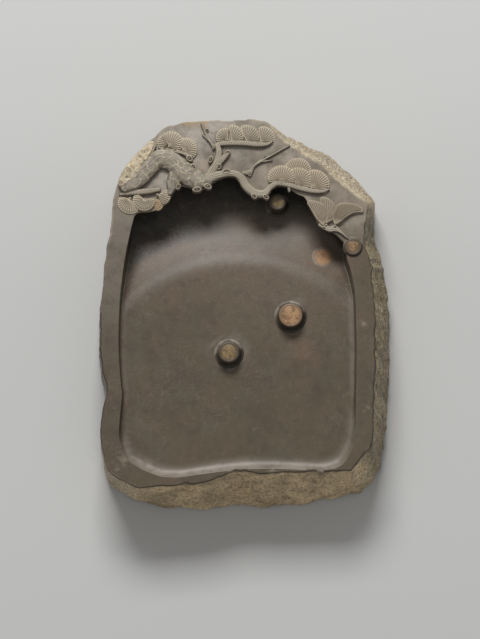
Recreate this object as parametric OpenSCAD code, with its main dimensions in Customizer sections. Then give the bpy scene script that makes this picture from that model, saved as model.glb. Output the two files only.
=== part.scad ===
// An ink stone cut from one natural slab: a sunk grinding hall that slopes into a deep ink pool,
// pillars left standing round the stone's mineral eyes, and a pine carved over the pool.
// Millimetres, +Z up, +Y towards the pine, resting on z = 0 with the origin under the middle of the slab.

/* [Slab] */
// Width of the flat worked top, across the hall
top_w = 152; // [140:1:165]
// Length of the flat worked top, along the hall
top_l = 205.5; // [190:0.5:220]
// Height of the worked top above the table
rim_h = 36; // [30:1:46]
// How far the rough front flank runs out past the rim
front_run = 17; // [12:0.5:22]
// How far the right flank runs out past the rim
side_run = 10.3; // [6:0.1:14]
// How far the pale natural skin at the top right runs out past the worked ground
skin_run = 12.5; // [8:0.5:15]
// How far the other flanks run out
back_run = 2; // [1:0.5:4]
// Outward swell of the flanks halfway down
flank_swell = 1; // [0:0.2:3]
// Height of the hollows and bumps on the natural flanks
flank_rough = 0.8; // [0:0.1:1.2]
// Height of the worn bevel round the foot
foot_bevel = 2; // [1:0.5:4]

/* [Well] */
// Depth of the grinding hall below the rim
hall_depth = 6; // [5:0.5:9]
// Depth of the ink pool below the rim
pool_depth = 15; // [12:0.5:20]
// Length of the slope from the hall's edge to the pool's floor
slope_run = 27; // [20:1:28]
// Radius of the arched edge where the hall ends
arch_r = 91; // [80:1:105]
// Where the top of that arch lies, forward of the middle of the well
arch_top = 30; // [22:1:34]
// How far the near wall's cove runs into the hall
cove_run = 5; // [3:0.5:7]
// How far the side walls lean into the hall
wall_run = 1; // [0.5:0.5:3]
// How far the pool reaches under the carving
undercut = 5; // [0:0.5:7]
// Rounding along the rim's edges
edge_round = 0.7; // [0.4:0.1:1]

/* [Pillars and eyes] */
// Radius of the large hall pillar's top
large_r = 6.2; // [5:0.1:8]
// Radius of the small hall pillar's top
small_r = 5.4; // [4:0.1:7]
// Radius of the pool pillar's top
pool_r = 4.6; // [3.5:0.1:5]
// Radius of the boss on the rim
boss_r = 5.1; // [4:0.1:6]
// How far the boss stands above the rim
boss_h = 1.3; // [0.8:0.1:2.5]
// How far the pool pillar's top lies below the rim
pool_pillar_drop = 5; // [3:0.5:7]
// How much wider a pillar is at its foot than at its top
pillar_flare = 1.3; // [0.5:0.1:2]
// Radius of the fillet at a pillar's foot
pillar_fillet = 1.6; // [0.5:0.1:2]
// Width of the stone ring left round an eye
eye_ring = 1.4; // [0.8:0.1:2]
// Depth to which an eye is let into its pillar
eye_depth = 1; // [0.6:0.1:1.2]
// Height of an eye's polished crown
eye_crown = 0.3; // [0:0.1:0.6]
// Radius of the flush eye in the slope
slope_eye_r = 5.5; // [4:0.1:7]
// Thickness of the flush eye
slope_eye_t = 2.5; // [1.5:0.1:3.5]
// Clearance round an eye in its seat
eye_clearance = 0.05; // [0.02:0.01:0.1]

/* [Pine carving] */
// Height of the trunk above the ground of the carving
trunk_h = 3.6; // [2.5:0.1:5]
// Height of the burl
burl_h = 4.2; // [2.5:0.1:6]
// Height of the boughs
bough_h = 2.8; // [1.5:0.1:4]
// Height of the twigs
twig_h = 1.5; // [0.8:0.1:2.5]
// Height of a needle fan at its hub
fan_h = 2.4; // [1.5:0.1:4]
// Height of a needle's tip
tip_h = 1.5; // [0.8:0.1:2.5]
// Radius of a fan's hub
hub_r = 1.1; // [0.6:0.1:1.6]
// Width of the line cut between neighbouring forms
cut_w = 0.15; // [0.05:0.05:0.4]
// Spacing of the needles along a fan's edge
needle_pitch = 2.3; // [1.8:0.1:4]

/* [Hidden] */
worked_stone = "#62594c";
carved_stone = "#8b8173";
skin_stone = "#a79a86";
eye_stone = "#967960";
tall = 40;
curve_steps = 4;

// Outline of the worked top, anticlockwise from the right, as drawn on the top's own centre
rim_drawn = [
    [70.5, -15], [70, 7], [69, 18.5], [68, 28.5], [65, 39], [65, 48], [66.5, 60], [62, 66],
    [56.5, 70], [49.5, 76], [42.5, 82], [29, 91.5], [21, 97.5], [13.5, 105.5], [8, 108.5], [0, 109],
    [-15.5, 108.5], [-34, 108], [-40, 106], [-46, 104.5], [-54.5, 97], [-62.5, 88.5], [-68.5, 80],
    [-72, 73.5], [-74.5, 63.5], [-75.5, 57], [-75.5, 50], [-76.5, 43], [-78.5, 31], [-79.5, 18],
    [-81, 6], [-81.5, -10], [-81.5, -21], [-80, -33], [-77.5, -42.5], [-79.5, -52], [-81, -64.5],
    [-79.5, -78], [-77, -87], [-71.5, -91], [-67, -94], [-62, -96.5], [-53.5, -96], [-42.5, -95.5],
    [-34, -94.5], [-24, -93], [-14, -90], [-5, -88], [12, -88.5], [45, -87.5], [56, -86.5],
    [60, -83.5], [64, -78], [67.5, -74.5], [69, -64.5], [69.5, -48], [70, -31.5]
];
// Outline of the well, with the bays that the carving leaves along the pool
well_drawn = [
    [59.5, -15], [59, 8], [58, 16], [56.5, 24], [54.5, 31], [54, 37.5], [51, 41.5], [47.5, 44.5],
    [42, 46.5], [38.5, 50], [37.5, 53], [35.5, 57.5], [33, 62], [31, 65], [27.5, 66.5], [23, 69.5],
    [19, 71], [15.5, 70.5], [12, 67.5], [9.5, 64.5], [5.5, 64], [2.5, 65], [-0.5, 67.5], [-4.5, 73.5],
    [-6.5, 75.5], [-11, 76.5], [-15.5, 75], [-20, 72], [-25, 69], [-31, 69.5], [-37, 71],
    [-40.5, 68.5], [-43.5, 63], [-48.5, 58.5], [-54.5, 56.5], [-61.5, 55.5], [-64, 49], [-67.5, 32],
    [-69.5, 17], [-70.5, 5], [-71, -15], [-70.5, -28], [-69.5, -40], [-69, -46], [-70.5, -65],
    [-69, -74.5], [-66.5, -79.5], [-64.5, -81.5], [-59, -85], [-53.5, -87.5], [-48, -89.5], [-42.5, -90],
    [-37, -90], [-26, -88.5], [-15, -87], [-4.5, -86], [6.5, -85.5], [17.5, -85.5], [28.5, -86],
    [39.5, -86.5], [45, -86], [50, -84], [53, -81.5], [55.5, -77], [57.5, -72.5], [58, -70], [59, -61.5],
    [59, -48], [59.5, -23]
];

function xs(pts) = [for (p = pts) p.x];
function ys(pts) = [for (p = pts) p.y];
function span(values) = max(values) - min(values);
stretch = [top_w / span(xs(rim_drawn)), top_l / span(ys(rim_drawn))];
// A drawn point at its place on the stone, and a drawn length at its size there
function at(p) = [p.x * stretch.x, p.y * stretch.y];
grown = (stretch.x + stretch.y) / 2;

// A closed smooth curve through the points, after Catmull and Rom
function bend(a, b, c, d, t) =
    (2 * b + (c - a) * t + (2 * a - 5 * b + 4 * c - d) * t * t + (3 * b - a - 3 * c + d) * t * t * t) / 2;
function closed_curve(pts) = [
    for (i = [0 : len(pts) - 1], s = [0 : curve_steps - 1])
        let (n = len(pts))
        bend(pts[(i + n - 1) % n], pts[i], pts[(i + 1) % n], pts[(i + 2) % n], s / curve_steps)
];
// The same curve as a table of heading and distance from the middle
function polar(pts) = [for (turn = [-360, 0, 360], p = pts) [atan2(p.y, p.x) + turn, norm(p)]];

// Headings of the loft's rows, closer together along the carving
headings = concat([0 : 3 : 27], [30 : 2.5 : 150], [153 : 3 : 357]);
heads = [for (r = headings) each r];
count = len(heads);
function signed(a) = a > 180 ? a - 360 : a;

rim_table = polar(closed_curve([for (p = rim_drawn) at(p)]));
well_table = polar(closed_curve([for (p = well_drawn) at(p)]));
rim_r = [for (a = heads) lookup(a, rim_table)];
well_r = [for (a = heads) lookup(a, well_table)];

// Run of the flank at each heading
run_table = [
    [-180, back_run], [-135, back_run], [-128, front_run * 0.15], [-123, front_run * 0.22],
    [-116, front_run * 0.53], [-104, front_run * 0.8], [-90, front_run], [-74, front_run * 0.94],
    [-64, front_run * 0.82], [-58, front_run * 0.72], [-52, front_run * 0.76], [-46, side_run * 0.8],
    [-38, side_run * 1.1], [-19, side_run], [0, side_run], [17, side_run * 0.9], [29, side_run * 0.87],
    [37, side_run * 0.95], [43, skin_run * 0.64], [48, skin_run * 0.88], [56, skin_run],
    [63, skin_run * 0.96], [70, skin_run * 0.9], [76, skin_run * 0.75], [83, skin_run * 0.35],
    [90, back_run], [180, back_run]
];
// Share of the natural skin's rounded shoulder at each heading
shoulder_table = [[-180, 0], [36, 0], [46, 1], [76, 1], [86, 0], [180, 0]];
shoulder_power = 1.2;
// Lean of the well's wall at each heading, which turns outward under the carving
lean_table = [
    [-180, wall_run], [-140, wall_run * 1.4], [-128, cove_run * 0.8], [-115, cove_run], [-60, cove_run],
    [-48, cove_run * 0.8], [-38, wall_run * 1.4], [28, wall_run], [36, wall_run * 0.3],
    [45, -undercut * 0.6], [60, -undercut], [122, -undercut], [135, -undercut * 0.7],
    [146, wall_run * 0.3], [160, wall_run], [180, wall_run]
];

// Unevenness of the natural flank, stronger where the skin is left rough
waves = [[7, 130, 0.6], [13, -200, 0.42], [29, 90, 0.3]];
function wave(a, level, k) =
    k < 0 ? 0 : waves[k].z * sin(waves[k].x * a + waves[k].y * level) + wave(a, level, k - 1);
function run_at(a) = lookup(signed(a), run_table);
function uneven(a, level) = flank_rough * (0.4 + run_at(a) / front_run) * wave(a, level, len(waves) - 1);
// Share of the run that the flank has reached, from level 0 at the table to 1 at the rim
function reached(a, level) = 1 - pow(level, 1 + shoulder_power * lookup(signed(a), shoulder_table));
// Distance of the flank from the middle at such a level
function flank_r(i, level) =
    let (a = heads[i])
    rim_r[i] + run_at(a) * reached(a, level)
    + sin(180 * level) * (flank_swell * min(1, run_at(a) / side_run) + uneven(a, level));

arch_middle = [-4.5 * stretch.x, arch_top - arch_r];
hall_z = rim_h - hall_depth;
pool_z = rim_h - pool_depth;
// Height of the well's floor: level to the arch, then easing down into the pool
function past_arch(p) = norm(p - arch_middle) - arch_r;
function floor_z(p) =
    hall_z - (pool_depth - hall_depth) * sin(90 * min(1, max(0, past_arch(p) / slope_run)));
// Distance to the arch along a heading, kept inside the well
function arch_reach(a) =
    let (u = [cos(a), sin(a)], along = u * arch_middle)
    along + sqrt(along * along + arch_r * arch_r - arch_middle * arch_middle);

function around(radii, heights) =
    [for (i = [0 : count - 1]) [radii[i] * cos(heads[i]), radii[i] * sin(heads[i]), heights[i]]];
function level(z) = [for (i = [0 : count - 1]) z];
function flank(l) = around([for (i = [0 : count - 1]) flank_r(i, l)], level(rim_h * l));
function on_floor(radii) =
    around(radii, [for (i = [0 : count - 1]) floor_z(radii[i] * [cos(heads[i]), sin(heads[i])])]);

lean = [for (a = heads) lookup(signed(a), lean_table)];
rim_flat = [for (r = rim_r) r - edge_round];
lip_r = [for (i = [0 : count - 1]) min(well_r[i] + edge_round, rim_flat[i] - edge_round)];
// A wall that leans inward bows into a cove; one that leans outward is straight down to its foot
half_lean = 0.2;
foot_lean = 0.55;
foot_h = 1.2;
wall_r = [for (i = [0 : count - 1]) well_r[i] - lean[i] * half_lean];
foot_r = [for (i = [0 : count - 1]) well_r[i] - lean[i] * (lean[i] > 0 ? foot_lean : 1)];
cove_r = [for (i = [0 : count - 1]) foot_r[i] - foot_h - max(0, lean[i]) * (1 - foot_lean)];
// The loft's rows on the hall's floor start from the arch, or just inside the cove where the arch is outside
arch_row = [for (i = [0 : count - 1]) min(arch_reach(heads[i]), cove_r[i] * 0.9)];
foot_level = [for (i = [0 : count - 1]) floor_z(foot_r[i] * [cos(heads[i]), sin(heads[i])]) + foot_h];
wall_level = [for (i = [0 : count - 1]) (foot_level[i] + rim_h) / 2];

flank_levels = [0.36, 0.66, 0.87];
floor_rows = 5;
rows = concat(
    [
        around([for (i = [0 : count - 1]) flank_r(i, 0) - 2 * foot_bevel], level(-foot_bevel)),
        around([for (i = [0 : count - 1]) flank_r(i, 0)], level(foot_bevel))
    ],
    [for (l = flank_levels) flank(l)],
    [
        around(rim_r, level(rim_h - edge_round)),
        around(rim_flat, level(rim_h)),
        around(lip_r, level(rim_h)),
        around(well_r, level(rim_h - edge_round)),
        around(wall_r, wall_level),
        around(foot_r, foot_level)
    ],
    [
        for (k = [0 : floor_rows])
            on_floor([for (i = [0 : count - 1]) cove_r[i] + (arch_row[i] - cove_r[i]) * k / floor_rows])
    ]
);

// Middle of the slab's outline, which the model is centred on
outline = concat(flank(0), [for (l = flank_levels) each flank(l)], around(rim_r, level(rim_h)));
mid = [(max(xs(outline)) + min(xs(outline))) / 2, (max(ys(outline)) + min(ys(outline))) / 2];
module placed() {
    translate([-mid.x, -mid.y, 0]) children();
}

// Closed solid through rows of points, from a row below the table to a row on the hall's floor
module loft(rows, below, inside) {
    last = len(rows) - 1;
    points = concat([for (r = rows) each r], [below, inside]);
    first = len(points) - 2;
    polyhedron(
        points,
        concat(
            [
                for (k = [0 : last - 1], i = [0 : count - 1])
                    let (j = (i + 1) % count)
                    each [
                        [k * count + i, (k + 1) * count + i, (k + 1) * count + j],
                        [k * count + i, (k + 1) * count + j, k * count + j]
                    ]
            ],
            [for (i = [0 : count - 1]) [first, i, (i + 1) % count]],
            [for (i = [0 : count - 1]) [first + 1, last * count + (i + 1) % count, last * count + i]]
        )
    );
}

// Places of the eyes
large_at = at([23.5, -1]);
small_at = at([-10.5, -21.5]);
pool_at = at([16.5, 63.2]);
boss_at = at([58, 37]);
slope_at = at([40.5, 31.5]);
slope_eye_tilt = atan(
    (pool_depth - hall_depth) / slope_run * PI / 2 * cos(90 * min(1, past_arch(slope_at) / slope_run))
);
slope_eye_turn = atan2((slope_at - arch_middle).y, (slope_at - arch_middle).x);

// Frame with its floor on the tangent of the slope at the flush eye
module slope_seat() {
    translate([slope_at.x, slope_at.y, floor_z(slope_at)])
        rotate([0, 0, slope_eye_turn])
            rotate([0, slope_eye_tilt, 0])
                children();
}

module slab() {
    color(worked_stone) placed()
        difference() {
            loft(rows, [0, 0, -foot_bevel], [0, 0, hall_z]);
            translate([-2 * top_w, -2 * top_l, -tall]) cube([4 * top_w, 4 * top_l, tall]);
            slope_seat()
                translate([0, 0, -slope_eye_t]) cylinder(h = tall, r = slope_eye_r + eye_clearance, $fn = 48);
        }
}

// Round pillar with a flared side, a foot fillet and a seat for its eye
module pillar(r, h, flare) {
    fillet = min(pillar_fillet, h / 3);
    foot = r + flare;
    difference() {
        rotate_extrude($fn = 48)
            polygon(concat(
                [[0, 0]],
                [for (a = [0 : 15 : 90]) [foot + fillet * (1 - sin(a)), fillet * (1 - cos(a))]],
                [for (a = [0 : 30 : 90]) [r - edge_round * (1 - cos(a)), h - edge_round * (1 - sin(a))]],
                [[0, h]]
            ));
        translate([0, 0, h - eye_depth]) cylinder(h = tall, r = r - eye_ring, $fn = 48);
    }
}

// Polished mineral eye that fills a seat of the given radius
module eye(r, t) {
    rim = r - eye_clearance;
    color(eye_stone)
        rotate_extrude($fn = 48)
            polygon(concat(
                [[0, 0], [rim, 0]],
                [for (s = [0 : 0.2 : 1]) [rim * cos(90 * s), t + eye_crown * sin(90 * s)]]
            ));
}

module hall_pillar_large() {
    color(worked_stone) placed()
        translate([large_at.x, large_at.y, hall_z]) pillar(large_r, hall_depth, pillar_flare);
}

module hall_pillar_small() {
    color(worked_stone) placed()
        translate([small_at.x, small_at.y, hall_z]) pillar(small_r, hall_depth, pillar_flare);
}

module pool_pillar() {
    color(worked_stone) placed()
        translate([pool_at.x, pool_at.y, pool_z])
            pillar(pool_r, pool_depth - pool_pillar_drop, pillar_flare / 2);
}

module rim_boss() {
    color(worked_stone) placed()
        translate([boss_at.x, boss_at.y, rim_h]) pillar(boss_r - eye_ring / 4, boss_h, eye_ring / 4);
}

module hall_eye_large() {
    placed() translate([large_at.x, large_at.y, rim_h - eye_depth]) eye(large_r - eye_ring, eye_depth);
}

module hall_eye_small() {
    placed() translate([small_at.x, small_at.y, rim_h - eye_depth]) eye(small_r - eye_ring, eye_depth);
}

module pool_eye() {
    placed()
        translate([pool_at.x, pool_at.y, rim_h - pool_pillar_drop - eye_depth])
            eye(pool_r - eye_ring, eye_depth);
}

module rim_eye() {
    placed()
        translate([boss_at.x, boss_at.y, rim_h + boss_h - eye_depth])
            eye(boss_r - eye_ring / 4 - eye_ring, eye_depth);
}

module slope_eye() {
    placed()
        slope_seat()
            translate([0, 0, -slope_eye_t])
                eye(slope_eye_r + eye_clearance, slope_eye_t - eye_crown);
}

// Boughs and twigs: points along the middle, with half the width there
trunk_line = [
    [-68, 69.5, 2.5], [-63.5, 72.5, 4.4], [-59, 77, 5.5], [-54, 82.5, 5.5], [-48.5, 86.5, 5.2],
    [-43, 85.5, 5.3], [-37.5, 81, 6], [-32, 77, 6], [-26.5, 74.5, 4.6]
];
root_line = [[-39, 78, 5], [-41.5, 73, 3.6], [-42.5, 69, 2.5], [-44, 66, 1.6]];
belly_line = [[-36, 78, 5], [-30.5, 74, 4.6], [-26, 72.8, 3.4], [-21.5, 73.5, 2.6]];
burl_line = [
    [-53.5, 94, 2.4], [-56.5, 90, 3.2], [-60.5, 85, 3.8], [-64.5, 80, 3.9], [-68, 75, 3.3], [-69.5, 72, 2.4]
];
main_line = [
    [-21.5, 75.8, 3.4], [-15.5, 77.2, 2.5], [-11, 78, 2.1], [-6.5, 77.5, 2.2], [-3.3, 75, 2.6],
    [-1, 71, 2.7], [2.5, 67.8, 2.7], [6, 66.5, 2.5], [9.5, 67, 2.3], [12, 70, 1.9], [15, 72, 1.7]
];
upper_line = [[-22.5, 79, 3.2], [-20, 82.5, 2.9], [-18, 87, 2.5], [-17.2, 90.5, 2.1], [-17.5, 93, 1.6]];
right_line = [
    [14.5, 72.3, 1.7], [18.5, 72.3, 1.6], [23.5, 71.2, 1.5], [29, 69.6, 1.6], [35.5, 68.2, 1.5],
    [41, 68, 1.2], [44.5, 69, 0.7]
];
top_line = [
    [-18, 94, 1.3], [-15, 94.8, 1.6], [-9, 95.2, 1.7], [-1.5, 95, 1.7], [5.5, 94.3, 1.6], [10.5, 94.6, 1.2],
    [13.5, 96.2, 0.7]
];
lower_left_line = [
    [-70.5, 66.3, 0.8], [-66, 67, 1.5], [-59.5, 67.6, 1.8], [-54, 68.2, 1.8], [-49.5, 69, 1.4]
];
upper_left_line = [
    [-49, 92.6, 0.8], [-45.5, 91.6, 1.1], [-40.5, 90.7, 1.2], [-35.5, 89.3, 1.2], [-32, 87.3, 1.3]
];
left_line = [[-18.8, 93, 1.1], [-21.3, 97, 1], [-23.5, 101, 0.8], [-25.7, 106, 0.7]];
left_bud_line = [[-20.5, 95.6, 0.9], [-24.9, 100, 0.7]];
bare_line = [
    [-2.5, 78.5, 1.3], [1, 79, 1.6], [3.4, 82.3, 0.9], [8, 85.4, 0.8], [13.5, 88.7, 0.7], [22.8, 93.9, 0.6]
];
fork_lines = [[[4, 83.2, 0.7], [9.5, 87.9, 0.4]], [[7.8, 84.8, 0.7], [13.3, 85.6, 0.4]]];
tip_line = [[40, 49.2, 1.4], [44.8, 46.9, 1.8], [48.1, 47.2, 1.9], [51.4, 45.2, 1], [55.2, 41.8, 0.6]];

// Needle fans: hub, first and last heading, length at each, extra length between
upper_left_fans = [
    [[-43.7, 93], -28, 125, 6.2, 8, 2.2],
    [[-36, 91], -47, 125, 7.6, 6.6, 1],
    [[-43.5, 94.7], 126, 210, 6.8, 6, 0.8]
];
lower_left_fans = [
    [[-56.9, 63.4], 140, 375, 7, 5.6, 0.4],
    [[-50, 66], -65, 32, 6.4, 7, 0.8],
    [[-65.2, 64], 165, 310, 6, 9, 1],
    [[-53.6, 62.9], -62, 15, 7, 6.4, 0.8]
];
top_fans = [
    [[-11, 96.7], 85, 200, 7.2, 6, 1],
    [[-9.4, 96.1], -12, 100, 5.5, 9.8, 1.4],
    [[-1.1, 95.8], -12, 112, 5.8, 10, 1.6],
    [[6.8, 95.2], -8, 98, 6.9, 9.9, 1.6]
];
right_fans = [
    [[18.6, 73], -14, 182, 7.6, 8, 2],
    [[26.6, 71.9], -42, 135, 8.2, 8.6, 2],
    [[35.4, 69.9], -26, 126, 8.8, 9.4, 2]
];
back_fans = [[[27.7, 77.8], 8, 180, 8, 8, 1.4]];
hanging_fans = [[[42, 48], 72, 126, 9, 18.5, 0.5], [[43.1, 49.1], 55, 104, 9.5, 16.5, 1]];
tip_fans = [[[48.1, 48.6], 24, 88, 18.5, 11.8, -0.6]];

// Chain of tapered blobs along a line
module chain(line, h) {
    for (i = [0 : len(line) - 2])
        hull() {
            blob(line[i], h);
            blob(line[i + 1], h);
        }
}

// A thin form stays low, and each form's flat top is narrower than its foot
low_h = 0.5;
crest_share = 0.45;

module blob(p, h) {
    place = at(p);
    r = p.z * grown;
    translate([place.x, place.y, rim_h])
        cylinder(h = min(h, low_h + r), r1 = r, r2 = r * crest_share, $fn = 10);
}

// Everything above the ground over a chain, with the cut line round it
module chain_clearance(line) {
    for (i = [0 : len(line) - 2])
        hull() {
            clearance_post(line[i]);
            clearance_post(line[i + 1]);
        }
}

module clearance_post(p) {
    place = at(p);
    translate([place.x, place.y, rim_h - 1]) cylinder(h = tall, r = p.z * grown + cut_w, $fn = 10);
}

function needles(f) = ceil((f[2] - f[1]) * PI / 180 * (f[3] + f[4]) / 2 * grown / needle_pitch);
function needle_heading(f, i) = f[1] + (f[2] - f[1]) * (i + 0.5) / needles(f);
function needle_length(f, i) =
    let (t = (i + 0.5) / needles(f))
    (f[3] + (f[4] - f[3]) * t + f[5] * sin(180 * t)) * grown;
function needle_tip(f, i) =
    at(f[0]) + needle_length(f, i) * [cos(needle_heading(f, i)), sin(needle_heading(f, i))];
// Half a needle's width at its tip, so that neighbours meet in a groove
function tip_r(f, i) = needle_length(f, i) * (f[2] - f[1]) * PI / 180 / needles(f) / 2 + needle_lap;
needle_lap = 0.1;
ridge_share = 0.3;

module fan(f) {
    hub = at(f[0]);
    for (i = [0 : needles(f) - 1])
        let (tip = needle_tip(f, i), r = tip_r(f, i))
            hull() {
                translate([hub.x, hub.y, rim_h]) cylinder(h = fan_h, r1 = hub_r, r2 = hub_r / 2, $fn = 5);
                translate([tip.x, tip.y, rim_h])
                    rotate([0, 0, needle_heading(f, i)])
                        cylinder(h = tip_h, r1 = r, r2 = r * ridge_share, $fn = 6);
            }
}

// Everything above the ground over a fan, filled in between the tips of neighbouring needles
module fan_clearance(f) {
    hub = at(f[0]);
    for (i = [1 : needles(f) - 1])
        hull() {
            translate([hub.x, hub.y, rim_h - 1]) cylinder(h = tall, r = hub_r + cut_w, $fn = 5);
            tip_post(f, i - 1);
            tip_post(f, i);
        }
}

module tip_post(f, i) {
    tip = needle_tip(f, i);
    translate([tip.x, tip.y, rim_h - 1])
        rotate([0, 0, needle_heading(f, i)])
            cylinder(h = tall, r = tip_r(f, i) + cut_w, $fn = 6);
}

// A cluster of fans, each tucked behind the ones before it in the list
module cluster(fans) {
    for (k = [0 : len(fans) - 1])
        difference() {
            fan(fans[k]);
            if (k > 0)
                for (front = [0 : k - 1])
                    fan_clearance(fans[front]);
        }
}

module cluster_clearance(fans) {
    for (f = fans)
        fan_clearance(f);
}

// The root and the belly lie a little lower than the trunk they grow from
root_h = trunk_h * 0.86;
belly_h = trunk_h * 0.93;

module pine_trunk() {
    color(carved_stone) placed()
        difference() {
            union() {
                chain(trunk_line, trunk_h);
                chain(root_line, root_h);
                chain(belly_line, belly_h);
            }
            chain_clearance(burl_line);
            chain_clearance(upper_left_line);
            chain_clearance(lower_left_line);
            cluster_clearance(lower_left_fans);
            cluster_clearance(upper_left_fans);
        }
}

module trunk_burl() {
    color(skin_stone) placed()
        difference() {
            chain(burl_line, burl_h);
            cluster_clearance(lower_left_fans);
            cluster_clearance(upper_left_fans);
            chain_clearance(lower_left_line);
        }
}

module main_bough() {
    color(carved_stone) placed()
        difference() {
            chain(main_line, bough_h);
            chain_clearance(trunk_line);
            chain_clearance(belly_line);
            cluster_clearance(right_fans);
        }
}

module upper_bough() {
    color(carved_stone) placed()
        difference() {
            chain(upper_line, bough_h);
            chain_clearance(main_line);
            chain_clearance(trunk_line);
            chain_clearance(belly_line);
            chain_clearance(top_line);
            cluster_clearance(top_fans);
        }
}

module right_bough() {
    color(carved_stone) placed()
        difference() {
            chain(right_line, bough_h);
            chain_clearance(main_line);
            cluster_clearance(right_fans);
        }
}

module top_bough() {
    color(carved_stone) placed()
        difference() {
            chain(top_line, bough_h);
            cluster_clearance(top_fans);
        }
}

module lower_left_bough() {
    color(carved_stone) placed()
        difference() {
            chain(lower_left_line, bough_h);
            cluster_clearance(lower_left_fans);
        }
}

module upper_left_twig() {
    color(carved_stone) placed()
        difference() {
            chain(upper_left_line, bough_h);
            cluster_clearance(upper_left_fans);
        }
}

module left_twig() {
    color(carved_stone) placed()
        difference() {
            union() {
                chain(left_line, twig_h);
                chain(left_bud_line, twig_h);
            }
            chain_clearance(upper_line);
            chain_clearance(top_line);
            cluster_clearance(top_fans);
        }
}

module bare_twig() {
    color(carved_stone) placed()
        difference() {
            union() {
                chain(bare_line, twig_h);
                for (line = fork_lines)
                    chain(line, twig_h);
            }
            chain_clearance(main_line);
            cluster_clearance(back_fans);
        }
}

module tip_twig() {
    color(carved_stone) placed()
        difference() {
            chain(tip_line, twig_h);
            cluster_clearance(tip_fans);
            cluster_clearance(hanging_fans);
        }
}

module upper_left_needles() {
    color(carved_stone) placed() cluster(upper_left_fans);
}

module lower_left_needles() {
    color(carved_stone) placed() cluster(lower_left_fans);
}

module top_needles() {
    color(carved_stone) placed() cluster(top_fans);
}

module right_needles() {
    color(carved_stone) placed() cluster(right_fans);
}

module back_needles() {
    color(carved_stone) placed()
        difference() {
            cluster(back_fans);
            cluster_clearance(right_fans);
        }
}

module hanging_needles() {
    color(carved_stone) placed() cluster(hanging_fans);
}

module tip_needles() {
    color(carved_stone) placed()
        difference() {
            cluster(tip_fans);
            cluster_clearance(hanging_fans);
        }
}

slab();
hall_pillar_large();
hall_pillar_small();
pool_pillar();
rim_boss();
hall_eye_large();
hall_eye_small();
pool_eye();
rim_eye();
slope_eye();
pine_trunk();
trunk_burl();
main_bough();
upper_bough();
right_bough();
top_bough();
lower_left_bough();
upper_left_twig();
left_twig();
bare_twig();
tip_twig();
upper_left_needles();
lower_left_needles();
top_needles();
right_needles();
back_needles();
hanging_needles();
tip_needles();
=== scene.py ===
import math

import bpy
import numpy as np
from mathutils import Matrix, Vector


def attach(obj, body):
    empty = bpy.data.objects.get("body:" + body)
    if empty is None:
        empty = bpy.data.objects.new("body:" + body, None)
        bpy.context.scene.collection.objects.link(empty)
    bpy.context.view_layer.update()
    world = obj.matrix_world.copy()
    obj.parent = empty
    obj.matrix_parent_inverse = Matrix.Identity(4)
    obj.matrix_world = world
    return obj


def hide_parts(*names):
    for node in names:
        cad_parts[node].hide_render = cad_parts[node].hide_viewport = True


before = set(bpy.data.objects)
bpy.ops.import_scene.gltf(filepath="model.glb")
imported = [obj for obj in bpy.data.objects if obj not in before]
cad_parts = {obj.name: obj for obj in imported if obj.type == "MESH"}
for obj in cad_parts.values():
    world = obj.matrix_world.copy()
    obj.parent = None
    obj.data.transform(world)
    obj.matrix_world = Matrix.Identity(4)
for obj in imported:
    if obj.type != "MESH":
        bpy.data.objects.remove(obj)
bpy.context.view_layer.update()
print("frame loaded,", len(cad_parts), "nodes")

mm = 0.001
drawnMiddle = np.array([-1.434, 2.92])  # mm, middle of the slab's outline on the drawing
middleLift = 36.0  # mm, the flat worked top above the table
carvedFoot = middleLift - 1.5  # mm, where the carved pieces end inside the slab


# small tools

def linearColour(code):
    # sRGB hex to linear light: c / 12.92 near black, else ((c + 0.055) / 1.055) ^ 2.4
    parts = [int(code[i:i + 2], 16) / 255 for i in (1, 3, 5)]
    return tuple(c / 12.92 if c <= 0.04045 else ((c + 0.055) / 1.055) ** 2.4 for c in parts) + (1.0,)


def smoothStep(low, high, value):
    # 0 below low, 1 above high, 3t^2 - 2t^3 between
    t = np.clip((value - low) / (high - low), 0, 1)
    return t * t * (3 - 2 * t)


def span(value, a, b, c, d):
    # rises smoothly from 0 at a to 1 at b, and falls from 1 at c to 0 at d
    return smoothStep(a, b, value) * smoothStep(d, c, value)


def bump(value, centre, width):
    # bell curve exp(-((value - centre) / width)^2)
    return np.exp(-((value - centre) / width) ** 2)


def spot(x, y, place, reach):
    # bell round a place on the drawing: exp(-(dx / reach x)^2 - (dy / reach y)^2)
    return bump(np.hypot((x - place[0]) / reach[0], (y - place[1]) / reach[1]), 0, 1)


def softNoise(points, size, seed):
    # random values on a lattice size mm apart, blended between its corners by 3t^2 - 2t^3, from -1 to 1
    table = np.random.default_rng(seed).random((32, 32, 32))
    place = points / size + 61.7
    cell = np.floor(place).astype(int)
    t = place - cell
    t = t * t * (3 - 2 * t)
    total = np.zeros(points.shape[:-1])
    for corner in np.ndindex(2, 2, 2):
        share = np.prod(np.where(corner, t, 1 - t), axis=-1)
        i = (cell + corner) % 32
        total += share * table[i[..., 0], i[..., 1], i[..., 2]]
    return total * 2 - 1


def roughness(points, parts):
    # sum of depth * softNoise over the parts: depth, squeeze of the points, size in mm and seed
    return sum(depth * softNoise(points * squeeze, size, seed) for depth, squeeze, size, seed in parts)


def cellGap(x, y, size, seed):
    # one point at a random place in each square of a grid: distance to the nearest, and how much
    # farther the second is, both over the size
    jitter = np.random.default_rng(seed).random((64, 64, 2)) * 0.8 + 0.1
    gx, gy = x / size + 320, y / size + 320
    cx, cy = np.floor(gx).astype(int), np.floor(gy).astype(int)
    reach = []
    for dx, dy in np.ndindex(3, 3):
        ix, iy = cx + dx - 1, cy + dy - 1
        middle = jitter[ix % 64, iy % 64]
        reach.append(np.hypot(ix + middle[..., 0] - gx, iy + middle[..., 1] - gy))
    reach = np.sort(np.stack(reach), axis=0)
    return reach[0], reach[1] - reach[0]


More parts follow.
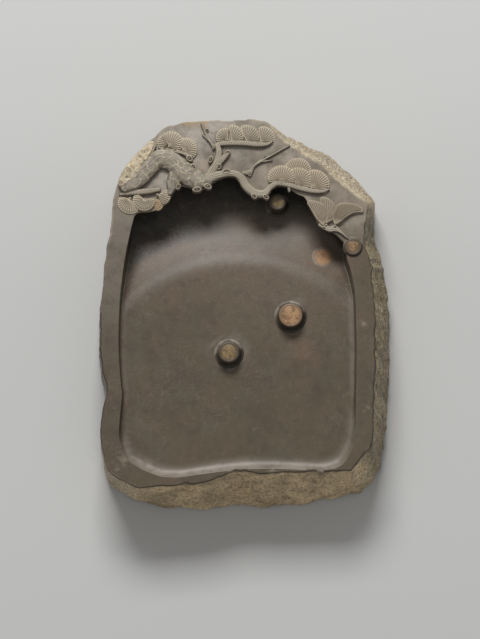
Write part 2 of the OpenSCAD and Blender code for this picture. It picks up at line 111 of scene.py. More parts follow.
def smoothLine(points, steps, closed=False):
    # Catmull-Rom curve: (2b + (c-a)t + (2a-5b+4c-d)t^2 + (3b-a-3c+d)t^3) / 2 through the points
    p = np.array(points, float)
    if closed:
        a, b, c, d = np.roll(p, 1, 0), p, np.roll(p, -1, 0), np.roll(p, -2, 0)
    else:
        full = np.vstack([2 * p[0] - p[1], p, 2 * p[-1] - p[-2]])
        a, b, c, d = full[:-3], full[1:-2], full[2:-1], full[3:]
    t = np.linspace(0, 1, steps, endpoint=False)[None, :, None]
    a, b, c, d = (v[:, None, :] for v in (a, b, c, d))
    square, cube = 2 * a - 5 * b + 4 * c - d, 3 * b - a - 3 * c + d
    curve = ((2 * b + (c - a) * t + square * t ** 2 + cube * t ** 3) / 2).reshape(-1, p.shape[1])
    return curve if closed else np.vstack([curve, p[-1]])


# meshes

def wrapShell(rows, masks=None):
    # rows of points round a form, closed round each row and, at both ends, to the mean of the end row
    rows = np.asarray(rows, float)
    count, width = rows.shape[:2]
    i = np.arange(width)
    j = (i + 1) % width
    base = (np.arange(count - 1) * width)[:, None]
    quads = np.stack([base + i, base + j, base + width + j, base + width + i], -1).reshape(-1, 4)
    first, last = count * width, count * width + 1
    start = np.stack([np.full(width, first), j, i], -1)
    end = np.stack([np.full(width, last), i + (count - 1) * width, j + (count - 1) * width], -1)
    points = np.vstack([rows.reshape(-1, 3), rows[0].mean(0), rows[-1].mean(0)])
    marks = {}
    for name, mask in (masks or {}).items():
        flat = np.broadcast_to(mask, (count, width))
        marks[name] = np.concatenate([flat.ravel(), [flat[0].mean(), flat[-1].mean()]])
    return points, quads, np.vstack([start, end]), marks


def plateShell(x, y, top, bottom, keep, masks=None):
    # sheet z = top(x, y) on a grid, over the kept squares, closed by a flat underside and by a wall along
    # each side of a square that no other kept square shares
    width = x.shape[1]
    row, column = np.nonzero(keep)
    corner = row * width + column
    quads = np.stack([corner, corner + 1, corner + width + 1, corner + width], -1)
    used, flat = np.unique(quads, return_inverse=True)
    quads = flat.reshape(-1, 4)
    count = len(used)
    edges = np.vstack([quads[:, [k, (k + 1) % 4]] for k in range(4)])
    own, back = edges[:, 0] * count + edges[:, 1], edges[:, 1] * count + edges[:, 0]
    rim = edges[~np.isin(own, back)]
    wall = np.stack([rim[:, 1], rim[:, 0], rim[:, 0] + count, rim[:, 1] + count], -1)
    upper = np.stack([x.ravel()[used], y.ravel()[used], top.ravel()[used]], -1)
    lower = upper.copy()
    lower[:, 2] = bottom
    marks = {}
    for name, mask in (masks or {}).items():
        marks[name] = np.tile(np.broadcast_to(mask, x.shape).ravel()[used], 2)
    quads = np.vstack([quads, quads[:, ::-1] + count, wall])
    return np.vstack([upper, lower]), quads, np.zeros((0, 3), int), marks


def makePiece(name, shells, material, node, sharp=60):
    # one object from shells given in mm on the drawing, put into the frame, with its masks as attributes
    points, faces, marks, start = [], [], {}, 0
    for shell in shells:
        points.append(shell[0])
        faces += (shell[1] + start).tolist() + (shell[2] + start).tolist()
        for key, value in shell[3].items():
            marks.setdefault(key, np.zeros(0))
            marks[key] = np.concatenate([marks[key], np.zeros(start - len(marks[key])), value])
        start += len(shell[0])
    points = np.vstack(points)
    points[:, :2] -= drawnMiddle
    mesh = bpy.data.meshes.new(name)
    mesh.from_pydata((points * mm).tolist(), [], faces)
    mesh.polygons.foreach_set("use_smooth", np.ones(len(faces), bool))
    for key, value in marks.items():
        value = np.concatenate([value, np.zeros(start - len(value))])
        mesh.attributes.new(key, "FLOAT", "POINT").data.foreach_set("value", value.astype(np.float32))
    mesh.set_sharp_from_angle(angle=math.radians(sharp))
    mesh.validate()
    mesh.materials.append(material)
    piece = bpy.data.objects.new(name, mesh)
    bpy.context.scene.collection.objects.link(piece)
    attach(piece, "root")
    if node:
        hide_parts(node)
    print(name, "made,", len(faces), "faces")
    return piece


# materials

def addNode(tree, kind, inputs=None, **settings):
    # adds a node, sets its options, then sets each input or links it to another node's output
    node = tree.nodes.new("ShaderNode" + kind)
    for key, value in settings.items():
        setattr(node, key, value)
    for key, value in (inputs or {}).items():
        if isinstance(value, bpy.types.NodeSocket):
            tree.links.new(value, node.inputs[key])
        else:
            node.inputs[key].default_value = value
    return node


def stoneMaterial(name, look):
    # the base colour with others mixed over it one by one: a layer where its mask says, speckles where noise
    # runs from low to high, and rubbing marks where noise drawn out ninefold along them does
    material = bpy.data.materials.new(name)
    material.use_nodes = True
    tree = material.node_tree
    tree.nodes.clear()
    place = addNode(tree, "TexCoord").outputs["Object"]
    covers = list(look["layers"])  # mask, colour, share
    patches = [(place, 3, 0.55, speckle) for speckle in look["speckles"]]
    for degrees in look.get("rubbed", ()):
        drawnOut = addNode(tree, "Mapping", {"Vector": place, "Rotation": (0, 0, math.radians(degrees)),
                                             "Scale": (1, 9, 1)}, vector_type="TEXTURE")
        patches.append((drawnOut.outputs[0], 2, 0.5, look["rubbing"]))
    for where, detail, rough, (key, code, size, low, high, most) in patches:
        noise = addNode(tree, "TexNoise", {"Vector": where, "Scale": 1 / mm / size, "Detail": detail,
                                           "Roughness": rough})
        share = addNode(tree, "MapRange", {"Value": noise.outputs["Fac"], "From Min": low, "From Max": high,
                                           "To Max": most}, interpolation_type="SMOOTHSTEP")
        covers.append((key, code, share.outputs["Result"]))
    colour = addNode(tree, "RGB").outputs[0]
    colour.default_value = linearColour(look["base"])
    for key, code, share in covers:
        if key:
            mask = addNode(tree, "Attribute", attribute_name=key).outputs["Fac"]
            share = addNode(tree, "Math", {0: mask, 1: share}, operation="MULTIPLY").outputs[0]
        mixed = addNode(tree, "Mix", {0: share, 6: colour, 7: linearColour(code)}, data_type="RGBA")
        colour = mixed.outputs[2]
    height = 0.0
    for key, size, detail, rough, lift in look["relief"]:
        # height in mm = sum of lift * noise, times the mask where there is one
        noise = addNode(tree, "TexNoise", {"Vector": place, "Scale": 1 / mm / size, "Detail": detail,
                                           "Roughness": rough}).outputs["Fac"]
        if key:
            mask = addNode(tree, "Attribute", attribute_name=key).outputs["Fac"]
            noise = addNode(tree, "Math", {0: mask, 1: noise}, operation="MULTIPLY").outputs[0]
        height = addNode(tree, "Math", {0: noise, 1: lift, 2: height}, operation="MULTIPLY_ADD").outputs[0]
    relief = addNode(tree, "Bump", {"Height": height, "Distance": mm, "Strength": 1.0})
    shader = addNode(tree, "BsdfPrincipled", {"Base Color": colour, "Roughness": look["roughness"],
                                              "IOR": look["ior"], "Normal": relief.outputs["Normal"]})
    addNode(tree, "OutputMaterial", {"Surface": shader.outputs[0]})
    return material


# Slate cut flat and rubbed smooth with fine stones: dull brown grey, faintly clouded, with a soft sheen.
# Its outside is left as it was found: grainy, flaky, tan where it weathered. Ink and painted shade darken
# the pool.
# Noise of 1 to 24 mm: clouds in the bed of the stone down to its coarser grains; rubbing marks 0.7 mm wide.
workedSlate = stoneMaterial("rubbedSlate", {
    "base": "#5c503f", "roughness": 0.5, "ior": 1.5,
    "layers": [  # mask, colour, most
        ("ground", "#9b8f80", 1.0), ("dustAndLitPatches", "#b5aca0", 0.9), ("light", "#837a6f", 0.9),
        # cove is painted light: highlights in the front cove over some wear, along the side walls' feet,
        # round the pillars' feet and on patches of the slope
        ("cove", "#8f857a", 0.85), ("slope", "#5e4b39", 0.8), ("worn", "#706152", 0.5),
        # pool is ink with painted shade under the carving
        ("pool", "#2b2620", 0.95), ("skin", "#ecd1a5", 1.0), ("moss", "#95866a", 0.95),
        # line is dark edge lines and a painted shadow along the top of the side walls
        ("pale", "#cbbca2", 1.0), ("red", "#7d5f4b", 0.45), ("line", "#352e24", 0.9),
        ("chip", "#b4a791", 0.9), ("stain", "#b99057", 0.85),
    ],
    "speckles": [  # mask, colour, size in mm, range of the noise, most
        (None, "#443b31", 24, 0.44, 0.64, 0.35), (None, "#605c4a", 14, 0.48, 0.66, 0.25),
        (None, "#715848", 11, 0.48, 0.75, 0.28), (None, "#463d33", 6, 0.48, 0.72, 0.3),
        (None, "#3f372e", 1.3, 0.55, 0.75, 0.3), (None, "#8f8474", 2.8, 0.55, 0.8, 0.2),
        ("ground", "#736a5c", 12, 0.48, 0.68, 0.45), ("ground", "#aea597", 9, 0.5, 0.7, 0.4),
        ("skin", "#a58150", 15, 0.5, 0.7, 0.35), ("skin", "#7d6746", 5, 0.5, 0.66, 0.45),
        ("skin", "#5d4b33", 1.2, 0.48, 0.62, 0.55), ("skin", "#ead6ae", 1.0, 0.52, 0.66, 0.5),
        ("grains", "#54442f", 1.0, 0.48, 0.6, 0.6), ("grains", "#f2e3c4", 1.1, 0.5, 0.62, 0.7),
        ("moss", "#544e38", 2.6, 0.5, 0.62, 0.75), ("moss", "#b5a47e", 5, 0.54, 0.68, 0.6),
        ("pale", "#8a7a5e", 1.7, 0.5, 0.64, 0.6),
    ],
    "rubbed": (8, 97, -38),  # headings of the rubbing marks in degrees
    "rubbing": ("rubbed", "#80766b", 0.7, 0.52, 0.74, 0.2),  # as the speckles
    # mask, size in mm, octaves, how much the finer ones count, lift in mm
    "relief": [(None, 0.9, 4, 0.55, 0.06), ("skin", 1.7, 6, 0.65, 1.0)],
})
# The same slate cut with small chisels and left off the stone: paler, dusty, matt, lighter along its crests
# with wear and a painted highlight, darker in its hollows with dirt and painted shade, with painted shade
# down its sides.
carvedSlate = stoneMaterial("chiselledSlate", {
    "base": "#9f9585", "roughness": 0.62, "ior": 1.5,
    "layers": [
        # deep is dirt and painted shade in hollows, and painted shade down the sides; crest is wear with a
        # painted highlight on ridges and edges
        ("deep", "#3a3228", 0.95), ("crest", "#c8b99f", 0.85), ("pale", "#d8c9a9", 0.9),
        ("stain", "#b8925c", 0.8),
    ],
    "speckles": [
        (None, "#776c5e", 9, 0.45, 0.75, 0.35), (None, "#aba091", 4, 0.52, 0.8, 0.3),
        ("pale", "#94795a", 2.1, 0.46, 0.62, 0.6), ("pale", "#6f6250", 1.1, 0.52, 0.66, 0.4),
        (None, "#5f5548", 1.1, 0.6, 0.75, 0.3),
    ],
    "relief": [(None, 0.8, 4, 0.55, 0.08)],
})
# Mineral eyes of the stone, ground and polished with their pillars: ochre, ringed, with a darker middle.
eyeSlate = stoneMaterial("polishedStoneEye", {
    "base": "#96785a", "roughness": 0.38, "ior": 1.52,
    "layers": [
        ("ring", "#5f4d36", 0.65), ("heart", "#8a7040", 0.7), ("olive", "#7a6d4b", 0.9),
        ("tan", "#b8906c", 0.9),
    ],
    "speckles": [
        (None, "#69513a", 3.2, 0.45, 0.62, 0.7), (None, "#b59468", 2.0, 0.52, 0.66, 0.6),
        (None, "#46372a", 1.2, 0.54, 0.68, 0.4),
    ],
    "relief": [(None, 0.7, 4, 0.55, 0.03)],
})
# The turned caps and sides of the pillars: the same slate as the hall, stained by the mineral near the eye.
# Painted shade runs down the sides, darkest away from the light, and a painted highlight lies on the lit
# side of the foot's fillet.
pillarSlate = stoneMaterial("turnedSlate", {
    "base": "#584e42", "roughness": 0.48, "ior": 1.5,
    "layers": [
        # line is painted shade down the sides; foot is a painted highlight on the lit side of the fillet
        ("tan", "#a3805f", 0.9), ("brown", "#4f4335", 0.9), ("line", "#282019", 0.9),
        ("foot", "#968c80", 0.8),
    ],
    "speckles": [(None, "#3f362b", 2.4, 0.5, 0.72, 0.4), (None, "#857460", 1.6, 0.58, 0.78, 0.3)],
    "relief": [(None, 0.7, 4, 0.55, 0.04)],
})
# The eye in the slope, rubbed down flush with it: reddish tan, less polished, fading into the slate.
redEyeSlate = stoneMaterial("polishedFlatEye", {
    "base": "#a8805a", "roughness": 0.5, "ior": 1.5,
    "layers": [("ring", "#6a5f53", 1.0)],
    "speckles": [(None, "#7d634c", 3.2, 0.45, 0.66, 0.6), (None, "#a68a5c", 2.2, 0.52, 0.72, 0.5)],
    "relief": [(None, 0.8, 4, 0.55, 0.03)],
})
print("materials made")


# slab

slab = {
    # mm on the drawing, seen from above
    "rimOutline": [
        (70.5, -15), (70, 7), (69, 18.5), (68, 28.5), (65, 39), (65, 48), (66.5, 60), (62, 66),
        (56.5, 70), (49.5, 76), (42.5, 82), (29, 91.5), (21, 97.5), (13.5, 105.5), (8, 108.5),
        (0, 109), (-15.5, 108.5), (-34, 108), (-40, 106), (-46, 104.5), (-54.5, 97), (-62.5, 88.5),
        (-68.5, 80), (-72, 73.5), (-74.5, 63.5), (-75.5, 57), (-75.5, 50), (-76.5, 43), (-78.5, 31),
        (-79.5, 18), (-81, 6), (-81.5, -10), (-81.5, -21), (-80, -33), (-77.5, -42.5), (-79.5, -52),
        (-81, -64.5), (-79.5, -78), (-77, -87), (-71.5, -91), (-67, -94), (-62, -96.5), (-53.5, -96),
        (-42.5, -95.5), (-34, -94.5), (-24, -93), (-14, -90), (-5, -88), (12, -88.5), (45, -87.5),
        (56, -86.5), (60, -83.5), (64, -78), (67.5, -74.5), (69, -64.5), (69.5, -48), (70, -31.5),
    ],
    "wellOutline": [
        (59.5, -15), (59, 8), (58, 16), (56.5, 24), (54.5, 31), (54, 37.5), (51, 41.5), (47.5, 44.5),
        (42, 46.5), (38.5, 50), (37.5, 53), (35.5, 57.5), (33, 62), (31, 65), (27.5, 66.5), (23, 69.5),
        (19, 71), (15.5, 70.5), (12, 67.5), (9.5, 64.5), (5.5, 64), (2.5, 65), (-0.5, 67.5),
        (-4.5, 73.5), (-6.5, 75.5), (-11, 76.5), (-15.5, 75), (-20, 72), (-25, 69), (-31, 69.5),
        (-37, 71), (-40.5, 68.5), (-43.5, 63), (-48.5, 58.5), (-54.5, 56.5), (-61.5, 55.5), (-64, 49),
        (-67.5, 32), (-69.5, 17), (-70.5, 5), (-71, -15), (-70.5, -28), (-69.5, -40), (-69, -46),
        (-70.5, -65), (-69, -74.5), (-66.5, -79.5), (-64.5, -81.5), (-59, -85), (-53.5, -87.5),
        (-48, -89.5), (-42.5, -90), (-37, -90), (-26, -88.5), (-15, -87), (-4.5, -86), (6.5, -85.5),
        (17.5, -85.5), (28.5, -86), (39.5, -86.5), (45, -86), (50, -84), (53, -81.5), (55.5, -77),
        (57.5, -72.5), (58, -70), (59, -61.5), (59, -48), (59.5, -23),
    ],
    "flankRun": [  # heading in degrees, and how far the flank runs out there
        (-180, 2), (-136, 2), (-128, 3.6), (-123, 5), (-116, 9.6), (-104, 13.6), (-90, 17), (-74, 16),
        (-64, 13.9), (-58, 12.2), (-52, 12.9), (-46, 8.24), (-38, 11.3), (-19, 10.3), (0, 10.3), (17, 9.3),
        (29, 9.6), (36, 9.2), (42, 6.2), (47, 8), (54, 9.8), (61, 9.8), (68, 8.6), (74, 7.6), (80, 6),
        (84, 3.2), (88, 2), (180, 2),
    ],
    "shoulder": [  # heading, and how rounded the skin is
        (-180, 0), (36, 0), (46, 1), (82, 1.2), (86, 0.6), (90, 0), (180, 0)],
    "wallLean": [  # heading, and how far the well's wall leans in there
        (-180, 0.3), (-145, 0.4), (-138, 1.5), (-128, 4), (-115, 5), (-60, 5), (-48, 4), (-40, 1.5),
        (-33, 0.6), (28, 0.4), (36, 0.3), (45, -3), (60, -5), (122, -5), (135, -3.5), (146, 0.2), (160, 0.3),
        (180, 0.3),
    ],
    "hallDepth": 6.0, "poolDepth": 15.0, "slopeRun": 27.0, "archRadius": 91.5, "archMiddle": (-4.5, -61.0),
    "archWear": 5.0, "edgeRound": 0.7, "footBevel": 2.0, "footHeight": 0.6,
    "swell": 1.0, "skinRough": 0.8, "fullRun": 10.3, "widestRun": 17,
    # waves of the flank: depth in mm, waves in a full turn, degrees of lead from foot to rim
    "waves": [(0.6, 7, 130), (0.42, 13, -200), (0.3, 29, 90)],
    # noise: depth in mm, squeeze along x, y and z, size in mm, seed
    "rimNoise": [(0.45, 1, 6, 4), (0.4, 1, 2.5, 5)],
    "lumps": [(0.7, (1, 1, 1.8), 9, 11), (0.45, (1, 1, 1.6), 4, 12), (0.35, 1, 1.8, 13)],
    "flakes": [(1.0, (1, 0.5, 2.5), 8, 16), (0.6, (1, 0.35, 2.5), 3.2, 17)],
    "edgeChips": (1.1, (1, 1, 0.5), 7, 14), "topWaves": (0.03, 1, 7, 15), "groundWaves": (0.09, 1, 2.6, 18),
    # headings between which the stone has each look: two where it comes in, two where it goes
    "layeredFlank": (-54, -48, 36, 44), "paleSkin": (40, 47, 80, 96), "paleBack": (84, 100, 138, 172),
    "inkAndShadeWall": (26, 38, 146, 158), "plainWall": (-0.2, 0.2, 0.8, 2.2),  # the last in mm of lean
    # lit patches on the right of the slope: strength, place, reach along x and y
    "litPatches": [(0.65, (50, 32), (8, 11)), (0.6, (31, 50), (13, 10))],
    # rusty stains: place, and how far each reaches along x and y
    "stains": [((-24.6, 106), (2.4, 3.2)), ((-30, 107.6), (3.5, 1.4)), ((-25.2, 80.4), (4.5, 1.6)),
               ((-20.9, 83.5), (1.2, 3)), ((-56, 95), (1.6, 2)), ((-36, 106), (5, 1.2))],
    # pale chips: place and size; the bruise and the notch of the front corners, and the long chip in front
    "chips": [((63.6, -5.4), 1.5), ((65.3, -53), 1.9), ((-71.5, -86), 1.2), ((-9, -87.2), 1.3),
              ((13, -87), 1.6), ((66, -76), 1.6)],
    "bruise": ((-67, -80), (5, 4)), "notch": ((66.3, -85), (1.8, 3.96)),
    "longChip": {"at": (40.4, -89), "half": (2, 3.1), "slant": 0.45, "foot": 31},
    "redPatch": ((31.5, -20.5), (7, 7)), "darkCleft": ((69, 53), (5, 7)), "dustyTip": (-48.5, 74),
    "pillarFeet": [(23.5, -1), (-10.5, -21.5)],
    "headings": 960, "flankRows": 24, "topRows": 20, "wallRows": 12, "slopeRows": 16, "hallRows": 14,
}
hallLevel = middleLift - slab["hallDepth"]
poolLevel = middleLift - slab["poolDepth"]


def floorHeight(x, y):
    # hall level - depth * sin(90 degrees * way), where way is the distance past the arch over the slope's
    # run; within the wear of the arch's edge that distance is (past + wear)^2 / (4 wear)
    past = np.hypot(x - slab["archMiddle"][0], y - slab["archMiddle"][1]) - slab["archRadius"]
    wear = slab["archWear"]
    past = np.where(past > wear, past, np.maximum(past + wear, 0) ** 2 / (4 * wear))
    way = np.clip(past / slab["slopeRun"], 0, 1)
    return hallLevel - (slab["poolDepth"] - slab["hallDepth"]) * np.sin(way * math.pi / 2)


def makeSlab():
    # one closed loft: distance from the middle and height are functions of heading and of the way from the
    # underside, up the flank, over the rim and down the well to the middle of the hall
    count = slab["headings"]
    heading = np.linspace(-180, 180, count, endpoint=False)
    turn = np.radians(heading)
    ux, uy = np.cos(turn), np.sin(turn)

    def polar(outline):
        curve = smoothLine(outline, 10, closed=True)
        angle = np.degrees(np.arctan2(curve[:, 1], curve[:, 0]))
        order = np.argsort(angle)
        return np.interp(heading, angle[order], np.hypot(curve[:, 0], curve[:, 1])[order], period=360)

    def byHeading(table):
        return np.interp(heading, *np.array(table).T)

    rim, well = polar(slab["rimOutline"]), polar(slab["wellOutline"])
    run, lean, shoulder = (byHeading(slab[key]) for key in ("flankRun", "wallLean", "shoulder"))
    skinShare = np.maximum(smoothStep(1.9, 5.5, run), smoothStep(-139, -131, heading) * (heading < -100))
    edge = np.stack([ux * rim, uy * rim, np.zeros(count)], -1)
    rim = rim + roughness(edge, slab["rimNoise"]) * (0.9 + 0.6 * skinShare) - 0.25

    def flank(level):
        # rim + run * (1 - level^(1 + 1.2 shoulder)) + sin(pi level) * (swell + sum of depth * sin(wave))
        wave = sum(depth * np.sin(np.radians(turns * heading + lead * level))
                   for depth, turns, lead in slab["waves"])
        out = run * (1 - level ** (1 + 1.2 * shoulder))
        full = slab["swell"] * np.minimum(1, run / slab["fullRun"])
        rough = slab["skinRough"] * (0.4 + run / slab["widestRun"])
        return rim + out + math.sin(math.pi * level) * (full + rough * wave)

    rows, kinds = [], []

    def add(radius, height, kind):
        height = np.broadcast_to(height, radius.shape)
        rows.append(np.stack([radius * ux, radius * uy, height], -1))
        kinds.append(kind)

    foot, bevel = flank(0), slab["footBevel"]
    for share in (0.3, 0.7, 0.95):
        add((foot - bevel) * share, 0.0, "base")
    add(foot - bevel, 0.0, "base")
    topLevel = middleLift - slab["edgeRound"]
    for level in np.linspace(0, 1, slab["flankRows"]):
        height = bevel + (topLevel - bevel) * level
        add(flank(height / middleLift) if level < 1 else rim, height, "flank")
    r = slab["edgeRound"]
    for a in np.radians([22, 45, 68, 90]):
        add(rim - r * (1 - math.cos(a)), topLevel + r * math.sin(a), "edge")
    lip = np.minimum(well + r * 0.5, rim - 2 * r)
    for share in np.linspace(0, 1, slab["topRows"])[1:]:
        add(rim - r + (lip - rim + r) * share, middleLift, "top")
    for a in np.radians([30, 60, 90]):
        add(lip - (lip - well) * math.sin(a), middleLift - r * 0.5 * (1 - math.cos(a)), "lip")
    low = slab["footHeight"]
    cove = well - lean - low
    floorLevel = floorHeight(cove * ux, cove * uy)
    lipLevel = middleLift - r * 0.5
    for share in np.linspace(0, 1, slab["wallRows"] + 1)[1:]:
        # a wall that leans in is a quarter of an ellipse; an undercut one is straight with a curved foot
        a = share * math.pi / 2
        into = well - (lean + low) * (1 - math.cos(a))
        under = well - lean * share - low * share ** 4
        bowed = lipLevel + (floorLevel - lipLevel) * math.sin(a)
        straight = lipLevel + (floorLevel - lipLevel) * (share + 0.1 * math.sin(math.pi * share))
        add(np.where(lean > 0, into, under), np.where(lean > 0, bowed, straight), "wall")
    along = ux * slab["archMiddle"][0] + uy * slab["archMiddle"][1]
    middle2 = slab["archMiddle"][0] ** 2 + slab["archMiddle"][1] ** 2
    arch = np.minimum(along + np.sqrt(along ** 2 + slab["archRadius"] ** 2 - middle2), cove * 0.9)
    for share in np.linspace(0, 1, slab["slopeRows"] + 1)[1:]:
        radius = cove + (arch - cove) * share
        add(radius, floorHeight(radius * ux, radius * uy), "floor")
    for share in np.linspace(1, 0.04, slab["hallRows"] + 1)[1:]:
        add(arch * share, floorHeight(arch * share * ux, arch * share * uy), "floor")
    rows, kinds = np.array(rows), np.array(kinds)

    def only(*names):
        return np.isin(kinds, names)[:, None] * 1.0

    z = rows[..., 2]
    way = z / middleLift
    angle = np.broadcast_to(heading, z.shape)
    skin = skinShare * (only("flank") * smoothStep(1.0, 0.95, way) + only("edge") * 0.15 * (angle > 0))
    # natural skin: lumps, or flakes on the layered right flank, pushed in and out along the heading
    layered = span(angle, *slab["layeredFlank"])
    lumps, flakes = roughness(rows, slab["lumps"]), roughness(rows, slab["flakes"])
    depth, squeeze, size, seed = slab["edgeChips"]
    chips = np.minimum(0, softNoise(rows * squeeze, size, seed) + 0.25) * depth * (1 - skinShare)
    push = skin * (lumps * (1 - layered) + flakes * layered)
    push = push - 0.2 * skin + chips * only("flank") * smoothStep(0.55, 1, way)
    rows[..., 0] += push * ux
    rows[..., 1] += push * uy
    x, y = rows[..., 0], rows[..., 1]
    ground = only("top", "edge", "lip") * smoothStep(40, 60, y + 0.1 * x)
    topWaves, groundWaves = (roughness(rows, [slab[key]]) for key in ("topWaves", "groundWaves"))
    rows[..., 2] += only("top") * (topWaves + ground * groundWaves)

    # where each colour of the stone lies, from 0 to 1: dust on the far left of the ground and by the burl's
    # foot, some wear with a painted highlight in the front cove, a painted highlight along the foot of plain
    # side walls, painted light round the pillars' feet and on patches of the slope, ink with painted shade
    # in the pool
    inward = well - np.hypot(x, y)
    side = span(lean, *slab["plainWall"])
    pale = span(angle, *slab["paleSkin"])
    backPale = 0.4 * span(angle, *slab["paleBack"])
    farDust = smoothStep(80, 100, y - 0.12 * x) * smoothStep(20, -10, x)
    tipDust = smoothStep(8, 5, np.hypot(x - slab["dustyTip"][0], y - slab["dustyTip"][1]))
    # painted highlight over some wear in the front cove, weaker to the right
    frontCoveWearAndHighlight = (only("wall", "floor", "lip") * smoothStep(1.4, 3.6, lean) * smoothStep(9, 2.5, inward)
                 * (1 - 0.45 * smoothStep(38, 56, x)))
    # painted highlight along the foot of plain side walls
    sideFootHighlight = only("wall", "floor") * side * bump(inward, 2.2, 1.7) * np.where(x > 0, 0.55, 0.25)
    lit = sum(most * spot(x, y, place, reach) for most, place, reach in slab["litPatches"])
    # painted light in a crescent round each pillar's foot on the side toward the light, broken up by noise
    paintedPillarHalo = sum(bump(np.hypot(x - px, y - py - 2), 8, 3.2) for px, py in slab["pillarFeet"])
    paintedPillarHalo = smoothStep(-0.3, 0.6, softNoise(rows, 3.5, 25)) * 0.5 * paintedPillarHalo
    # ink in the pool with painted shade: deep down, less at the right front, and on the far walls that face
    # away from the light
    inkAndShadeFloor = (only("floor") * smoothStep(hallLevel - 6.2, poolLevel + 0.8, z)
                  * (1 - 0.9 * smoothStep(-50, 0, x) * smoothStep(68, 50, y)))
    inkAndShadeWall = only("wall") * span(angle, *slab["inkAndShadeWall"])
    # dark lines along the rim's edge and in the right flank near the boss, and a painted shadow down the top
    # of the side walls
    edgeLine = only("edge") * ((1 - pale) * smoothStep(150, 130, angle) * (0.35 + 0.9 * layered)
                               + 0.6 * (angle < -52))
    cleftLine = only("flank", "edge") * spot(x, y, *slab["darkCleft"]) * 0.75
    wallShadowLine = only("wall") * side * smoothStep(hallLevel + 1.5, hallLevel + 4, z) * 0.8
    # pale bruises and chips, broken up by noise, and rust
    bruise = (spot(x, y, *slab["bruise"]) * 0.6 * smoothStep(-0.1, 0.4, softNoise(rows, 1.6, 19))
              * only("top"))
    long = slab["longChip"]
    dx, dy = x - long["at"][0], y - long["at"][1]
    longChip = smoothStep(1, 0.7, np.maximum(np.abs(dx + long["slant"] * dy) / long["half"][0],
                                             np.abs(dy) / long["half"][1])) * (z > long["foot"])
    notch = spot(x, y, *slab["notch"]) * smoothStep(-0.2, 0.3, softNoise(rows, 1.5, 22))
    smallChips = (0.55 * only("top", "edge") * smoothStep(-0.3, 0.3, softNoise(rows, 1.6, 26))
                  * sum(spot(x, y, place, (size, size)) for place, size in slab["chips"]))
    rust = (sum(spot(x, y, place, reach) for place, reach in slab["stains"])
            * smoothStep(-0.3, 0.3, softNoise(rows, 1.8, 20)))
    masks = {
        "ground": ground * (1 - 0.25 * smoothStep(30, 60, x)),
        "dustAndLitPatches": ground * np.clip(farDust + tipDust, 0, 1),
        "light": only("top", "edge") * smoothStep(-45, 62, y) * smoothStep(-40, -62, x) * 0.8,
        # painted light: front cove, side walls' feet, patches of the slope and round the pillars
        "cove": frontCoveWearAndHighlight + sideFootHighlight + only("floor") * (lit + paintedPillarHalo),
        "rubbed": (only("floor", "top") * smoothStep(-0.5, 0.5, softNoise(rows, 22, 24))
                   * smoothStep(70, 50, y)),
        "slope": only("floor") * smoothStep(hallLevel - 0.6, hallLevel - 3, z) * smoothStep(46, 36, y),
        # lighter towards the far end of the hall floor
        "worn": (only("floor") * smoothStep(-30, 22, y - 0.25 * np.abs(x - 15))
                 * smoothStep(hallLevel - 1, hallLevel, z)),
        "pool": inkAndShadeFloor + inkAndShadeWall,
        "skin": np.clip(skin, 0, 1),
        "grains": skin * pale,
        "moss": only("flank") * layered,
        "pale": only("flank", "edge") * np.clip(pale + backPale + 0.75 * bump(angle, -130, 8), 0, 1),
        "red": only("floor") * spot(x, y, *slab["redPatch"]),
        "line": np.clip(edgeLine + cleftLine + wallShadowLine, 0, 1),
        "chip": bruise + longChip + notch + smallChips,
        "stain": np.clip(rust, 0, 1) * only("top", "edge", "flank"),
    }
    return makePiece("slabStone", [wrapShell(rows, masks)], workedSlate, "slab", sharp=70)


makeSlab()


# pillars and their mineral eyes

pillars = {
    "hallPillarLarge": {
        "node": "hall_pillar_large", "eye": "hall_eye_large", "at": (23.5, -1), "foot": hallLevel,
        "top": middleLift, "radius": 6.5, "flare": 1.0, "fillet": 1.6, "tan": 0.8, "brown": 0.3,
        "olive": 0.0},
    "hallPillarSmall": {
        "node": "hall_pillar_small", "eye": "hall_eye_small", "at": (-10.5, -21.5), "foot": hallLevel,
        "top": middleLift, "radius": 5.7, "flare": 1.0, "fillet": 1.6, "tan": 0.05, "brown": 0.6,
        "olive": 0.75},
    "poolPillar": {
        "node": "pool_pillar", "eye": "pool_eye", "at": (16.5, 63.2), "foot": poolLevel,
        "top": middleLift - 5, "radius": 4.6, "flare": 0.65, "fillet": 1.6, "tan": 0.0, "brown": 0.7,
        "olive": 1.0},
    "rimBoss": {
        "node": "rim_boss", "eye": "rim_eye", "at": (58, 37), "foot": middleLift, "top": middleLift + 1.3,
        "radius": 4.75, "flare": 0.35, "fillet": 0.43, "tan": 0.1, "brown": 0.5, "olive": 0.2},
}
eyeFit = {"ring": 1.4, "depth": 1.0, "crown": 0.22, "clearance": 0.02, "edge": 0.7}  # mm


def turned(profile, centre, sides=96):
    # profile of radius r and height z carried round an upright axis: (r cos a, r sin a, z) from the centre
    r, z = np.array(profile, float).T
    a = np.linspace(0, 2 * math.pi, sides, endpoint=False)
    return np.stack([centre[0] + r[:, None] * np.cos(a), centre[1] + r[:, None] * np.sin(a),
                     np.broadcast_to(z[:, None], (len(r), sides))], -1)


